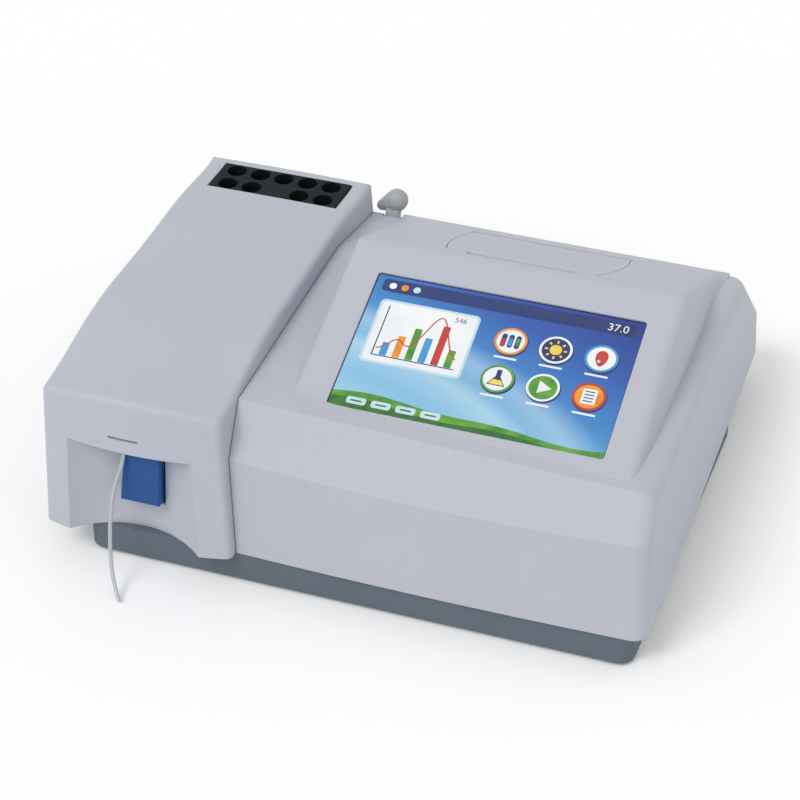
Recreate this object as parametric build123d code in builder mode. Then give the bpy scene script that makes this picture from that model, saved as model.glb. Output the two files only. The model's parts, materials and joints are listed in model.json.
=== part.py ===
from build123d import *
import os
from math import atan2, cos, pi, radians, sin, tan

os.makedirs("parts", exist_ok=True)

# Benchtop chemistry analyzer with a flow cell, in millimetres.
# +Z up, the front faces -Y, +X to the right as seen from the front.
# The origin is the middle of the covers' footprint, on the bench.

# ------------------------------------------------------------------ covers: driving dimensions
WIDTH = 345.5  # over the module's left wall and the main cover's right wall, at the bottom edge
DEPTH = 300.5  # from the module's nose above the alcove to the rear wall's foot
FOOT_H = 2.5  # what the rubber feet lift the base by
BASE_H = 19.0  # pedestal, from its underside to the covers' bottom edge
WALL = 2.5  # cover and tray wall
GAP = 0.4  # between two mouldings that meet
RUN_FIT = 0.05  # clearance of a shaft in its hole, on the radius
DRAFT = 2.9  # degrees, outer walls of the main cover
MODULE_DRAFT = 2.5  # degrees, outer walls of the sample module
MODULE_W = 112.0  # sample module, over its side walls at the bottom edge
ALCOVE_TOP_Z = 84.5  # ceiling of the alcove in the module's nose

# ------------------------------------------------------------------ where the covers' walls stand
X_LEFT = -WIDTH / 2
X_RIGHT = WIDTH / 2
MODULE_X1 = X_LEFT + MODULE_W
Y_NOSE = -DEPTH / 2 - (ALCOVE_TOP_Z - FOOT_H - BASE_H) * tan(radians(MODULE_DRAFT))
Y_REAR = DEPTH / 2

# ------------------------------------------------------------------ cover shapes: driving dimensions

# sample module, on the left
MODULE_BOW = 7.5  # how far the nose bows forward in the middle
MODULE_CORNER_R = 4.5
MODULE_EDGE_R = 4.0  # round of the roof's edges
# the module's roof, front to back: distance behind the nose, height of its sides, crown
ROOF = (
    (-8.0, 109.5, 7.5),
    (10.5, 111.5, 7.0),
    (36.5, 114.5, 6.0),
    (68.5, 120.8, 3.5),
    (128.5, 122.6, 1.5),
    (178.0, 122.8, 0.8),
    (215.0, 121.9, 0.4),
    (260.0, 121.5, 0.4),
    (400.0, 112.5, 0.4),
)

# window to the main cover for tubes and wires: y range, z range
WIRE_WINDOW = ((Y_NOSE + 93.0, Y_REAR - 110.25), (37.5, 83.5))

# main cover, on the right
MAIN_SETBACK = 12.0  # main cover's front behind the module's nose
MAIN_BOW = 2.0
CREASE_Z = 83.5  # where the front wall turns into the slanted band, at its ends
CREASE_SETBACK = 16.9  # and its distance behind the module's nose
BAND_TOP_SETBACK = 31.5  # top edge of the band behind the module's nose
BAND_TOP_Z = 104.0
SHOULDER_Z_LEFT = 111.0  # flat shoulder beside the module
SHOULDER_Z_RIGHT = 106.0  # and at the right wall
SHOULDER_END = 181.5  # where the shoulder starts to fall to the rear, behind the nose
SIDE_EDGE_R = 9.5  # round of all edges of the right wall
REAR_EDGE_Z = 98.5  # rear edge of the top
REAR_EDGE_INSET = 46.25  # and its distance in front of the rear wall
REAR_WALL_Z = 52.0  # where the rear wall starts to slope forwards
REAR_LEAN = 2.0
MODULE_REAR_LEAN = 3.0

# raised console with the display
CONSOLE_TILT = 18.0  # degrees
CREST_SETBACK = 159.5  # crest behind the module's nose
CREST_Z = 145.5
DECK_X0 = MODULE_X1 + 21.75  # left edge of the deck
DECK_X1 = X_RIGHT - 20.45
CONSOLE_FLARE = 5.5  # how far the foot of a side wall stands out from the deck's edge
CONSOLE_EDGE_R = 6.0
CONSOLE_REAR_LIP = 1.2  # console's rear edge stands this far up and back from the cover's
CONSOLE_OVERRUN = 10.0  # the deck's form runs on through the band before it is trimmed

# alcove in the module's nose
ALCOVE_W = 78.0
ALCOVE_SHIFT = 1.0  # its middle left of the module's
ALCOVE_DEPTH = 15.5  # at its middle, behind its mouth
VENT_SLIT = (17.5, 1.4)  # breathing slit in the nose above the alcove: width, height
VENT_SLIT_X = X_LEFT + 53.75
VENT_SLIT_Z = 93.5

# pedestal and chassis
BASE_INSET_LEFT = 21.25  # pedestal's left side inside the covers' bottom edge
BASE_INSET_RIGHT = 7.25
BASE_FLARE = 5.3  # the pedestal's right side runs outwards to the rear by this much
BASE_FRONT = 14.7  # pedestal's front behind the module's nose
BASE_REAR_INSET = 64.05  # pedestal's rear end inside the covers' rear wall
BASE_CORNER_R = 9.0
FRONT_RIM = 8.0  # solid rim along the pedestal's front
PLATE_T = 2.0  # chassis plate under the covers
ACCESS_X = (MODULE_X1 + 30.75, X_RIGHT - 20.75)  # opening in the chassis plate over the electronics
ACCESS_Y = (Y_NOSE + 45.0, Y_REAR - 70.25)
FOOT_R = 8.0
FOOT_INSET = 16.0
FOOT_STUD_R = 2.0
FOOT_STUD_HEAD_R = 3.2
VENT_SLOT = (26.0, 3.0)  # slots in the pedestal's floor
VENT_PITCH = 9.0
VENT_COUNT = 9

# screws that hold the covers
SCREW_R = 1.5
SCREW_FIT = 0.05  # clearance around a screw, on the radius
SCREW_HEAD_R = 2.9
SCREW_HEAD_H = 2.0
SCREW_BITE = 10.0  # how far a screw reaches into its boss
SCREW_SINK = 10.0  # depth of the recess of a screw in the pedestal's rim
SCREW_REST = 1.0  # free depth under the end of a screw
BOSS_W = 12.0
BOSS_H = 14.0
MODULE_SIDE_SCREW_Y = (Y_NOSE + 53.0, Y_REAR - 100.25)
MODULE_REAR_SCREW_X = (X_LEFT + 32.75, MODULE_X1 - 19.25)
MAIN_RIM_SCREW_X = (MODULE_X1 + 15.75, X_RIGHT - 22.75)
MAIN_REAR_SCREW_X = (MODULE_X1 + 9.75, X_RIGHT - 13.25)

# ------------------------------------------------------------------ display: driving dimensions
DISPLAY_X = X_RIGHT - 114.5
DISPLAY_DROP = 68.9  # centre of the display in front of the crest, along the deck
DISPLAY_W = 152.4  # active area of a 7 inch panel
DISPLAY_H = 91.4
WINDOW_MARGIN = 1.0  # between the active area and the window's edge
WINDOW_R = 2.0
BEZEL_T = 1.2  # the deck is thinned to this around the window
GLASS = (165.0, 104.0, 1.8)
GLASS_FIT = 0.4
PANEL_H = 100.0
PANEL_T = 5.7
FRAME_RIM = 5.0  # display frame around the glass
FRAME_BACK = 1.5
FRAME_CUTOUT = (120.0, 60.0)

# ------------------------------------------------------------------ rear: driving dimensions
BAY_X = (MODULE_X1 + 20.75, X_RIGHT - 22.75)  # connector bay in the main cover's rear
BAY_Y = Y_REAR - 24.25  # its inner wall
BAY_TOP_Z = 74.0
PANEL_RIM = 4.0  # wall left around the bay's window
PLATE_LAP = 2.0  # rear panel over the window's edge
REAR_PLATE_T = 1.5
CONNECTOR_Z = 50.0
FAN_X = X_RIGHT - 51.75
FAN_W = 40.0
FAN_T = 10.0
FAN_BORE_R = 18.4
FAN_TIP_GAP = 0.8
FAN_HUB_R = 9.0
FAN_HUB_WALL = 1.2
FAN_AXLE_R = 1.5
FAN_AXLE_LEN = 8.0
FAN_CORNER_R = 3.0
FAN_BLADES = 7
FAN_BLADE_T = 1.1
FAN_STRUT_W = 3.0
FAN_STRUT_T = 1.4
FAN_SCREW_PITCH = 32.0
GUARD_WIRE = 1.4
GUARD_RINGS = (5.5, 11.5, 17.5)
INLET_X = X_RIGHT - 98.75
INLET_FLANGE = (48.0, 24.0, 2.0)
INLET_BODY = (27.5, 20.0, 19.0)
INLET_SOCKET = (24.0, 16.5, 15.0)
INLET_PIN = (2.0, 4.0, 9.0)
INLET_PINS = ((-7.0, -2.0), (0.0, 2.0), (7.0, -2.0))  # line, earth, neutral
SWITCH_X = X_RIGHT - 134.75
SWITCH_BEZEL = (15.0, 21.0, 2.0)
SWITCH_BODY_T = 12.0
SWITCH_BACK_T = 1.5
ROCKER = (9.0, 15.0)
ROCKER_GAP = 0.5
ROCKER_TILT = 8.0  # degrees from level, switched off
ROCKER_R = 9.0  # from the pivot to the corners of its face
ROCKER_SINK = 2.5  # how far the corners stand out of the bezel, level
ROCKER_HOLLOW = 1.6  # depth of the face's hollow
ROCKER_TAIL = (0.55, 1.8)  # share of the half width, depth under the pivot
ROCKER_PIN_R = 1.2
ROCKER_PIN_OUT = 1.5
SERIAL_X = MODULE_X1 + 72.75
SERIAL_FLANGE = (30.8, 12.5, 1.5)
SERIAL_SHELL = (17.0, 8.6, 6.0)
SERIAL_BODY_T = 9.0
SERIAL_WALL = 0.5
SERIAL_PIN = (0.5, 5.0)  # radius, length
SERIAL_PITCH = (2.7, 2.8)  # of the pins along a row, and of the rows
SERIAL_NUT = (2.4, 5.0)  # radius, length
SERIAL_NUT_PITCH = 25.0
USB_X = MODULE_X1 + 47.75
USB_SOCKET = (13.2, 5.6, 12.0)
USB_PITCH = 9.0
USB_WALL = 1.0
USB_TONGUE = (11.2, 1.2, 10.0)  # width, thickness, length
WASTE_X = MODULE_X1 + 31.75
WASTE_R = 2.6
WASTE_BORE_R = 1.6
WASTE_NUT_R = 5.5
WASTE_NUT_T = 3.0
WASTE_OUT = 16.0  # stub length outside the panel
WASTE_IN = 12.0
BARB = (3.3, 2.5, 3.0)  # base radius, length, pitch
BARB_COUNT = 3

# ------------------------------------------------------------------ printer: driving dimensions
LID_X = X_RIGHT - 118.75
LID_W = 100.0
LID_START = 14.0  # front edge of the lid behind the crest, down the rear slope
LID_AXIS = 88.0  # hinge axis, down the rear slope
LID_BARREL_R = 4.0
LID_BULGE = 6.0  # the lid's sides bow outwards from its front corners
LID_FRONT_T = 0.8  # round of the lid's front edge
LID_PIN_R = 1.5
LID_LUG = 5.0  # thickness of a lug that holds the pin
LID_PIN_SKIN = 1.0  # left of the lug behind the pin's end
PAPER_SLOT = (62.0, 6.0)
PAPER_W = 57.0
PAPER_R = 18.0
PAPER_Y = 58.0  # roll axis, down the rear slope and under it
PAPER_Z = -27.0
SPINDLE_R = 6.0
BUCKET_WALL = 2.0
BUCKET_SIDE_GAP = 0.7
BUCKET_DEPTH = 48.0
BUCKET_Y = (8.0, 82.0)
SHELF_Z = (-8.0, -5.5)  # printer frame's shelf under the lid
SHELF_X = 56.0  # half width of the shelf
PLATEN_R = 5.0
PLATEN_SHAFT_R = 2.0
PLATEN_Y = 24.0
PLATEN_Z = -11.0
HEAD_T = 8.7
HEAD_H = 12.0
TEAR_T = 0.8
TEAR_TOOTH = 2.0

# ------------------------------------------------------------------ incubator: driving dimensions
BLOCK_X = (X_LEFT + 16.25, MODULE_X1 - 13.75)
BLOCK_Y = (Y_REAR - 84.75, Y_REAR - 55.25)
BLOCK_TOP_Z = 121.2
BLOCK_H = 25.0
BLOCK_FIT = 0.5
WELL_R = 6.0
WELL_DEPTH = 22.0
WELL_PITCH = 15.25
WELL_ROWS = (Y_REAR - 62.95, Y_REAR - 77.95)  # back row, front row
WELL_COLUMNS = 5
HEATER_T = 3.0
BLOCK_CHAMFER = 1.0
STAND_T = 2.0

# ------------------------------------------------------------------ optics: driving dimensions
OPTIC_X = X_LEFT + 43.75  # optical axis runs along Y
OPTIC_Z = 66.0
# bench plate: x range, y range, thickness
BENCH = ((X_LEFT + 22.75, MODULE_X1 - 11.25), (Y_NOSE + 58.0, Y_REAR - 86.75), 4.0)
HOUSING_X = 34.0  # lamp housing: width, y range, height above the bench
HOUSING_Y = (Y_REAR - 116.25, Y_REAR - 88.25)
HOUSING_H = 56.0
HOUSING_WALL = 2.0
LAMP_R = 5.5
LAMP_BASE_R = 7.0
LAMP_APERTURE_R = 8.0
BARREL_R = 11.0
BARREL_WALL = 1.5
BARREL_LEN = 20.0
LENS_T = 5.0
WHEEL_R = 33.0
WHEEL_T = 4.0
WHEEL_Y = Y_REAR - 146.25
FILTER_ORBIT = 24.0
FILTER_COUNT = 8
FILTER_R = 6.2
FILTER_T = 3.0
FILTER_FIT = 0.05
FILTER_LEDGE = 1.2
WHEEL_SHAFT_R = 2.5
WHEEL_HUB = (7.0, 2.5)  # radius, length
MOTOR_R = 12.0
MOTOR_LEN = 20.0
MOTOR_PLATE = (24.0, 2.0)
CELL_W = 12.5
CELL_H = 45.0
CELL_Y = Y_REAR - 171.25
CELL_Z = 46.0
CELL_CHANNEL_R = 2.0
HOLDER_W = 26.0
HOLDER_TOP_Z = 80.0
HOLDER_BORE_R = 4.0
DETECTOR_W = 40.0
DETECTOR_CAN = (4.5, 4.0)
BOARD_T = 1.6

# ------------------------------------------------------------------ sample button: driving dimensions
BUTTON_FRONT_Y = Y_NOSE + 10.5
BUTTON_BACK_Y = Y_NOSE + 27.5
BUTTON_Z = (45.0, 82.5)
BUTTON_BOTTOM_X = (X_LEFT + 45.55, X_LEFT + 68.95)
BUTTON_TOP_X = (X_LEFT + 50.35, X_LEFT + 71.35)
BUTTON_EDGE_R = 1.2
BUTTON_SIDE_GAP = 1.0
BUTTON_DROP = 3.0  # the window reaches this far under the button
BUTTON_PIN_Y = Y_NOSE + 24.0
BUTTON_PIN_Z = 79.0
BUTTON_PIN_R = 1.5
EAR_T = 2.5
BRACKET_T = 2.0
BRACKET_BACK_Y = Y_NOSE + 43.0
SWITCH_BLOCK = (12.0, 9.5, 20.0)
SWITCH_SKIN = 1.0  # closed end of the plunger's bore
PLUNGER_R = 1.5
PLUNGER_Z = 59.0
PLUNGER_GAP = 0.3
PLUNGER_LEN = 8.0

# ------------------------------------------------------------------ aspiration tube: driving dimensions
TUBE_R = 1.15
TUBE_BORE_FIT = 0.05
BUSH_R = 2.6
BUSH_FLANGE_R = 3.2
BUSH_FLANGE_T = 1.5
BUSH_TOP = 6.0  # above the alcove's ceiling
BUSH_AT = (X_LEFT + 51.55, Y_NOSE + 8.0)
# the tube's course from the bush down to the bench: places from the bush, height
TUBE_COURSE = (
    (0.0, 0.0, 83.0),
    (-0.5, -0.3, 75.2),
    (-5.5, -2.5, 60.9),
    (-6.8, -7.8, 46.3),
    (-6.1, -13.3, 32.5),
    (-4.1, -19.2, 17.0),
    (0.1, -25.7, 6.3),
    (5.2, -31.6, 1.6),
)
TUBE_ROUTE = [(BUSH_AT[0] + x, BUSH_AT[1] + y, z) for x, y, z in TUBE_COURSE]

# ------------------------------------------------------------------ pump: driving dimensions
PUMP_Y = Y_REAR - 68.25
PUMP_Z = 48.0
PUMP_X = (MODULE_X1 + 2.75, MODULE_X1 + 20.75)
PUMP_POCKET = 12.0
PUMP_W = 50.0
PUMP_TRACK_R = 21.0
PUMP_TUBE_R = 2.0
PUMP_TUBE_BORE_R = 1.2
ROTOR_R = 15.5
ROTOR_T = 2.0
ROTOR_SHAFT_R = 2.5
ROLLER_ORBIT = 11.7
ROLLER_R = 4.6
ROLLER_PIN_R = 1.5
ROLLER_COUNT = 3
ROTOR_SLEEVE_R = 4.0  # between its two faces
LEVER_CLEAR = 1.0  # between the lever's hub and the pump body
PUMP_MOTOR_R = 12.0
PUMP_MOTOR_LEN = 38.0
LEVER_X = (MODULE_X1 + 2.75, MODULE_X1 + 14.75)
LEVER_ARM_X = (MODULE_X1 + 4.75, MODULE_X1 + 12.75)
LEVER_ARM_T = 8.0  # front to back
LEVER_HEAD = (MODULE_X1 + 9.85, Y_REAR - 39.75, 105.5)  # middle of the thumb piece's thick end
LEVER_HEAD_R = 7.0
LEVER_TIP = (MODULE_X1 + 0.25, Y_REAR - 39.75, 100.2)  # and of its thin end
LEVER_TIP_R = 3.2
LEVER_PIVOT = (Y_REAR - 53.25, 80.0)
LEVER_HUB_R = 6.0
LEVER_PIN_R = 2.5
LEVER_SLOT_MARGIN = 1.5
LEVER_SLOT_Y = (Y_REAR - 49.25, Y_REAR - 28.25)

# ------------------------------------------------------------------ electronics: driving dimensions
BOARD_X = (MODULE_X1 + 36.75, X_RIGHT - 32.75)
BOARD_Y = (Y_NOSE + 53.0, Y_REAR - 130.25)
STANDOFF_H = 9.0
STANDOFF_R = 3.0
BOARD_SCREW_INSET = 6.0
# larger components on the mainboard: place from its left front corner, width, depth, height
BOARD_PARTS = (
    (44.0, 40.0, 24.0, 24.0, 2.0),
    (94.0, 40.0, 18.0, 12.0, 2.0),
    (124.0, 60.0, 30.0, 14.0, 3.0),
    (16.0, 80.0, 10.0, 40.0, 8.0),
    (84.0, 104.0, 60.0, 8.0, 9.0),
    (148.0, 25.0, 12.0, 30.0, 10.0),
)
CAPACITOR = (5.0, 12.0)  # radius, height
CAPACITOR_AT = ((29.0, 88.0), (44.0, 88.0), (59.0, 88.0))
POWER_X = (X_RIGHT - 98.75, X_RIGHT - 28.75)
POWER_Y = (Y_REAR - 124.25, Y_REAR - 72.25)
POWER_H = 33.0
POWER_CHAMFER = 1.0

# ------------------------------------------------------------------ derived places
BODY_Z = FOOT_H + BASE_H
FLOOR_Z = BODY_Z + PLATE_T  # top of the chassis plate
TUB_Z = FOOT_H + WALL  # floor inside the pedestal
MODULE_XC = X_LEFT + MODULE_W / 2
MAIN_Y0 = Y_NOSE + MAIN_SETBACK
BAND_TOP_Y = Y_NOSE + BAND_TOP_SETBACK
CREASE_Y = Y_NOSE + CREASE_SETBACK
SHOULDER_END_Y = Y_NOSE + SHOULDER_END
CREST_Y = Y_NOSE + CREST_SETBACK
REAR_EDGE_Y = Y_REAR - REAR_EDGE_INSET
BASE_Y0 = Y_NOSE + BASE_FRONT
BASE_Y1 = Y_REAR - BASE_REAR_INSET
BASE_X0 = X_LEFT + BASE_INSET_LEFT
BASE_X1 = X_RIGHT - BASE_INSET_RIGHT
BAND_LEAN = atan2(BAND_TOP_Y - CREASE_Y, BAND_TOP_Z - CREASE_Z)
TALL = 150.0  # tool height, over the tallest cover
WIDE = 60.0  # how far a cutting tool runs past the covers
CAVITY_DROP = 4 * WALL  # how far a cavity form runs on under the covers
ALCOVE_XC = MODULE_XC - ALCOVE_SHIFT
ALCOVE_R = ((ALCOVE_W / 2) ** 2 + ALCOVE_DEPTH**2) / (2 * ALCOVE_DEPTH)
ALCOVE_MOUTH_Y = Y_NOSE + MODULE_BOW * (ALCOVE_W / MODULE_W) ** 2
ALCOVE_YC = ALCOVE_MOUTH_Y + ALCOVE_DEPTH - ALCOVE_R
CONSOLE_REAR_Y = REAR_EDGE_Y + CONSOLE_REAR_LIP
CONSOLE_REAR_Z = REAR_EDGE_Z + CONSOLE_REAR_LIP
REAR_SLOPE = atan2(CREST_Z - CONSOLE_REAR_Z, CONSOLE_REAR_Y - CREST_Y)
TILT = radians(CONSOLE_TILT)
RISE = tan(TILT)

# the deck's surface at the display's centre, and the rear slope's surface at the crest
DECK = Plane(
    origin=(DISPLAY_X, CREST_Y - DISPLAY_DROP * cos(TILT), CREST_Z - DISPLAY_DROP * sin(TILT)),
    x_dir=(1, 0, 0),
    z_dir=(0, -sin(TILT), cos(TILT)),
)
SLOPE = Plane(
    origin=(LID_X, CREST_Y, CREST_Z),
    x_dir=(1, 0, 0),
    z_dir=(0, sin(REAR_SLOPE), cos(REAR_SLOPE)),
)

PANEL_Y = BAY_Y + REAR_PLATE_T  # outside of the rear panel
BAY_FLOOR_Z = FLOOR_Z + GAP
WINDOW_X = (BAY_X[0] + PANEL_RIM, BAY_X[1] - PANEL_RIM)
WINDOW_Z = (BAY_FLOOR_Z + PANEL_RIM, BAY_TOP_Z - PANEL_RIM)
BOSS_TOP_Z = FLOOR_Z + BOSS_H
SIDE_SCREW_X = (X_LEFT + BASE_X0) / 2
RIM_SCREW_Y = BASE_Y0 + FRONT_RIM / 2
REAR_SCREW_Y = Y_REAR - BOSS_W
# where each cover's screws stand
MODULE_SIDE_SCREWS = [(SIDE_SCREW_X, y) for y in MODULE_SIDE_SCREW_Y]
MODULE_REAR_SCREWS = [(x, REAR_SCREW_Y) for x in MODULE_REAR_SCREW_X]
MODULE_SCREWS = MODULE_SIDE_SCREWS + MODULE_REAR_SCREWS
MAIN_RIM_SCREWS = [(x, RIM_SCREW_Y) for x in MAIN_RIM_SCREW_X]
MAIN_REAR_SCREWS = [(x, REAR_SCREW_Y) for x in MAIN_REAR_SCREW_X]

BLOCK_XC = (BLOCK_X[0] + BLOCK_X[1]) / 2
BLOCK_BOTTOM_Z = BLOCK_TOP_Z - BLOCK_H
STAND_TOP_Z = BLOCK_BOTTOM_Z - HEATER_T
BENCH_TOP_Z = FLOOR_Z + BENCH[2]
WHEEL_X = OPTIC_X + FILTER_ORBIT
HOLDER_Y = (CELL_Y - HOLDER_W / 2, CELL_Y + HOLDER_W / 2)
HUB_END_Y = WHEEL_Y + WHEEL_T + WHEEL_HUB[1]
EAR_X = (BUTTON_BOTTOM_X[0] - BUTTON_SIDE_GAP - EAR_T, BUTTON_TOP_X[1] + BUTTON_SIDE_GAP)
ROTOR_X = PUMP_X[0] + PUMP_POCKET
TUBE_BEND_R = PUMP_TRACK_R - PUMP_TUBE_R
STANDOFF_TOP_Z = TUB_Z + STANDOFF_H
FAN_FRONT_Y = BAY_Y - FAN_T
LUG_X = LID_W / 2 + GAP  # lugs of the lid's pin, from the lid's middle
LID_PIN_HALF = LUG_X + LID_LUG - LID_PIN_SKIN
ROLL_WALL_X = PAPER_W / 2 + BUCKET_SIDE_GAP + BUCKET_WALL


# ------------------------------------------------------------------ helpers
def along_x(x, y, z):
    """A plane at a point, facing +X, with its own y axis up."""
    return Plane(origin=(x, y, z), x_dir=(0, 1, 0), z_dir=(1, 0, 0))


def along_y(x, y, z):
    """A plane at a point, facing +Y, with its own x axis along +X."""
    return Plane(origin=(x, y, z), x_dir=(1, 0, 0), z_dir=(0, 1, 0))


def along_z(x, y, z):
    """A plane at a point, facing up."""
    return Plane(origin=(x, y, z), x_dir=(1, 0, 0), z_dir=(0, 0, 1))


def block(x, y, z, mode=Mode.ADD, on=Plane.XY):
    """A box given by its ranges along a plane's own x, y and z."""
    centre = ((x[0] + x[1]) / 2, (y[0] + y[1]) / 2, (z[0] + z[1]) / 2)
    with Locations(on * Pos(*centre)):
        Box(x[1] - x[0], y[1] - y[0], z[1] - z[0], mode=mode)


def bar(plane, radius, length, mode=Mode.ADD):
    """A round bar that starts on a plane and runs the way the plane faces."""
    with Locations(plane):
        Cylinder(radius, length, align=(Align.CENTER, Align.CENTER, Align.MIN), mode=mode)


def slope_bar(half_length, y, z, radius, mode=Mode.ADD):
    """A round bar along X about the lid's middle, at a place on or under the rear slope."""
    bar(SLOPE * Plane(origin=(-half_length, y, z), x_dir=(0, 1, 0), z_dir=(1, 0, 0)), radius,
        2 * half_length, mode=mode)


def about(middle, width):
    """A range of a width about its middle."""
    return (middle - width / 2, middle + width / 2)


def ring(u, v, radius, count):
    """Places evenly spaced on a circle about (u, v)."""
    turns = [2 * pi * k / count for k in range(count)]
    return [(u + radius * cos(turn), v + radius * sin(turn)) for turn in turns]


# ------------------------------------------------------------------ cover forms
def below(inset):
    """Where a form starts: at the covers' bottom edge, or well under it for a cavity."""
    return BODY_Z if inset == 0 else BODY_Z - CAVITY_DROP


def plan_inset(inset, draft):
    """How far in a cavity's plan starts, so that its drafted walls are inset at the bottom edge."""
    return inset - CAVITY_DROP * tan(radians(draft))


def rear_curve(inset):
    """The rear wall and the slope over it in side view, up to the rear edge of the top, moved inwards."""
    lean = REAR_LEAN / (REAR_WALL_Z - BODY_Z)
    foot = (Y_REAR - inset + lean * (BODY_Z - below(inset)), below(inset))
    bend = (Y_REAR - REAR_LEAN - inset, REAR_WALL_Z - inset)
    edge = (REAR_EDGE_Y - inset, REAR_EDGE_Z - inset)
    Polyline(foot, bend, edge)
    return foot, edge


def roof_form(inset):
    """What lies under the module's crowned roof, wider than the module."""
    low = below(inset)
    with BuildPart() as roof:
        for back, side_z, crown in ROOF:
            with BuildSketch(Plane.XZ.offset(-(Y_NOSE + back))):
                with BuildLine():
                    left = (X_LEFT, side_z - inset)
                    right = (MODULE_X1, side_z - inset)
                    ThreePointArc(left, (MODULE_XC, side_z + crown - inset), right)
                    Polyline(right, (MODULE_X1, low), (X_LEFT, low), left)
                make_face()
        loft()
    return roof.part


def module_side(inset):
    """The module's side view: an upright slab that ends at its rear wall."""
    low = below(inset)
    with BuildPart() as slab:
        with BuildSketch(Plane.YZ.offset(X_LEFT - WIDE)):
            with BuildLine():
                foot, edge = rear_curve(inset)
                top = (edge[0] - MODULE_REAR_LEAN, TALL)
                Polyline(edge, top, (Y_NOSE - WIDE, TALL), (Y_NOSE - WIDE, low), foot)
            make_face()
        extrude(amount=WIDTH + 2 * WIDE)
    return slab.part


def module_plan(rear_y, inset):
    """The module's outline seen from above, up to a rear edge, moved inwards by inset."""
    with BuildSketch(mode=Mode.PRIVATE) as plan:
        with BuildLine():
            nose_l = (X_LEFT, Y_NOSE + MODULE_BOW)
            nose_r = (MODULE_X1, Y_NOSE + MODULE_BOW)
            ThreePointArc(nose_l, (MODULE_XC, Y_NOSE), nose_r)
            Polyline(nose_r, (MODULE_X1, rear_y), (X_LEFT, rear_y), nose_l)
        make_face()
        if inset:
            offset(amount=-inset, kind=Kind.INTERSECTION)
    return plan.sketch


def module_form(inset):
    """The sample module's outer shape with round roof edges, moved inwards by inset."""
    roof = roof_form(inset)
    side = module_side(inset)
    plan = module_plan(Y_REAR + WIDE, plan_inset(inset, MODULE_DRAFT) if inset else 0)
    with BuildPart() as form:
        with BuildSketch(Plane.XY.offset(below(inset))):
            add(plan)
        extrude(amount=TALL, taper=MODULE_DRAFT)
        upright = form.edges().filter_by(lambda e: e.bounding_box().size.Z > TALL / 2)
        fillet(upright.sort_by(Axis.Y)[0:2], MODULE_CORNER_R - inset)
        add(roof, mode=Mode.INTERSECT)
        add(side, mode=Mode.INTERSECT)
        top = form.faces().sort_by(Axis.Z)[-1]
        fillet(top.edges(), MODULE_EDGE_R - inset)
    return form.part


def band_y(z):
    """Where the slanted band is at a height, in side view."""
    return BAND_TOP_Y + (z - BAND_TOP_Z) * (BAND_TOP_Y - CREASE_Y) / (BAND_TOP_Z - CREASE_Z)


def main_side(inset):
    """The main cover's side view: band, shoulder and rear, as a slab across its width."""
    low = below(inset)
    shift = inset / cos(BAND_LEAN)
    chin_z = BAND_TOP_Z - BAND_TOP_SETBACK
    flat_z = SHOULDER_Z_LEFT + WALL - inset
    with BuildPart() as slab:
        with BuildSketch(Plane.YZ.offset(MODULE_X1 - WIDE)):
            with BuildLine():
                foot, edge = rear_curve(inset)
                flat = (SHOULDER_END_Y, flat_z)
                front = (band_y(flat_z) + shift, flat_z)
                chin = (band_y(chin_z) + shift, chin_z)
                Polyline(edge, flat, front, chin, (Y_NOSE - WIDE, chin_z), (Y_NOSE - WIDE, low), foot)
            make_face()
        extrude(amount=WIDTH + 2 * WIDE)
    return slab.part


def main_plan(rear_y, inset):
    """The main cover's outline seen from above with room under the module, moved inwards by inset."""
    with BuildSketch(mode=Mode.PRIVATE) as plan:
        with BuildLine():
            front_l = (MODULE_X1 - 2 * WALL, MAIN_Y0 + MAIN_BOW)
            front_r = (X_RIGHT, MAIN_Y0 + MAIN_BOW)
            far_x = MODULE_X1 - WIDE
            ThreePointArc(front_l, ((front_l[0] + X_RIGHT) / 2, MAIN_Y0), front_r)
            Polyline(front_r, (X_RIGHT, rear_y), (far_x, rear_y), (far_x, MAIN_Y0 + MAIN_BOW), front_l)
        make_face()
        if inset:
            offset(amount=-inset, kind=Kind.INTERSECTION)
    return plan.sketch


def main_form(inset):
    """The main cover's shape without the console, moved inwards by inset, right wall's edges round."""
    side = main_side(inset)
    plan = main_plan(Y_REAR + WIDE, plan_inset(inset, DRAFT) if inset else 0)
    fall = SHOULDER_Z_LEFT - SHOULDER_Z_RIGHT
    run = X_RIGHT - MODULE_X1
    with BuildPart() as form:
        with BuildSketch(Plane.XY.offset(below(inset))):
            add(plan)
        extrude(amount=TALL, taper=DRAFT)
        add(side, mode=Mode.INTERSECT)
        split(bisect_by=Plane(origin=(MODULE_X1, 0, SHOULDER_Z_LEFT - inset), z_dir=(fall, 0, run)),
              keep=Keep.BOTTOM)
        right = form.faces().filter_by(GeomType.PLANE).sort_by(Axis.X)[-1]
        fillet(right.edges().filter_by(lambda e: e.center().Z > BODY_Z + WALL), SIDE_EDGE_R - inset)
    return form.part


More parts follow.
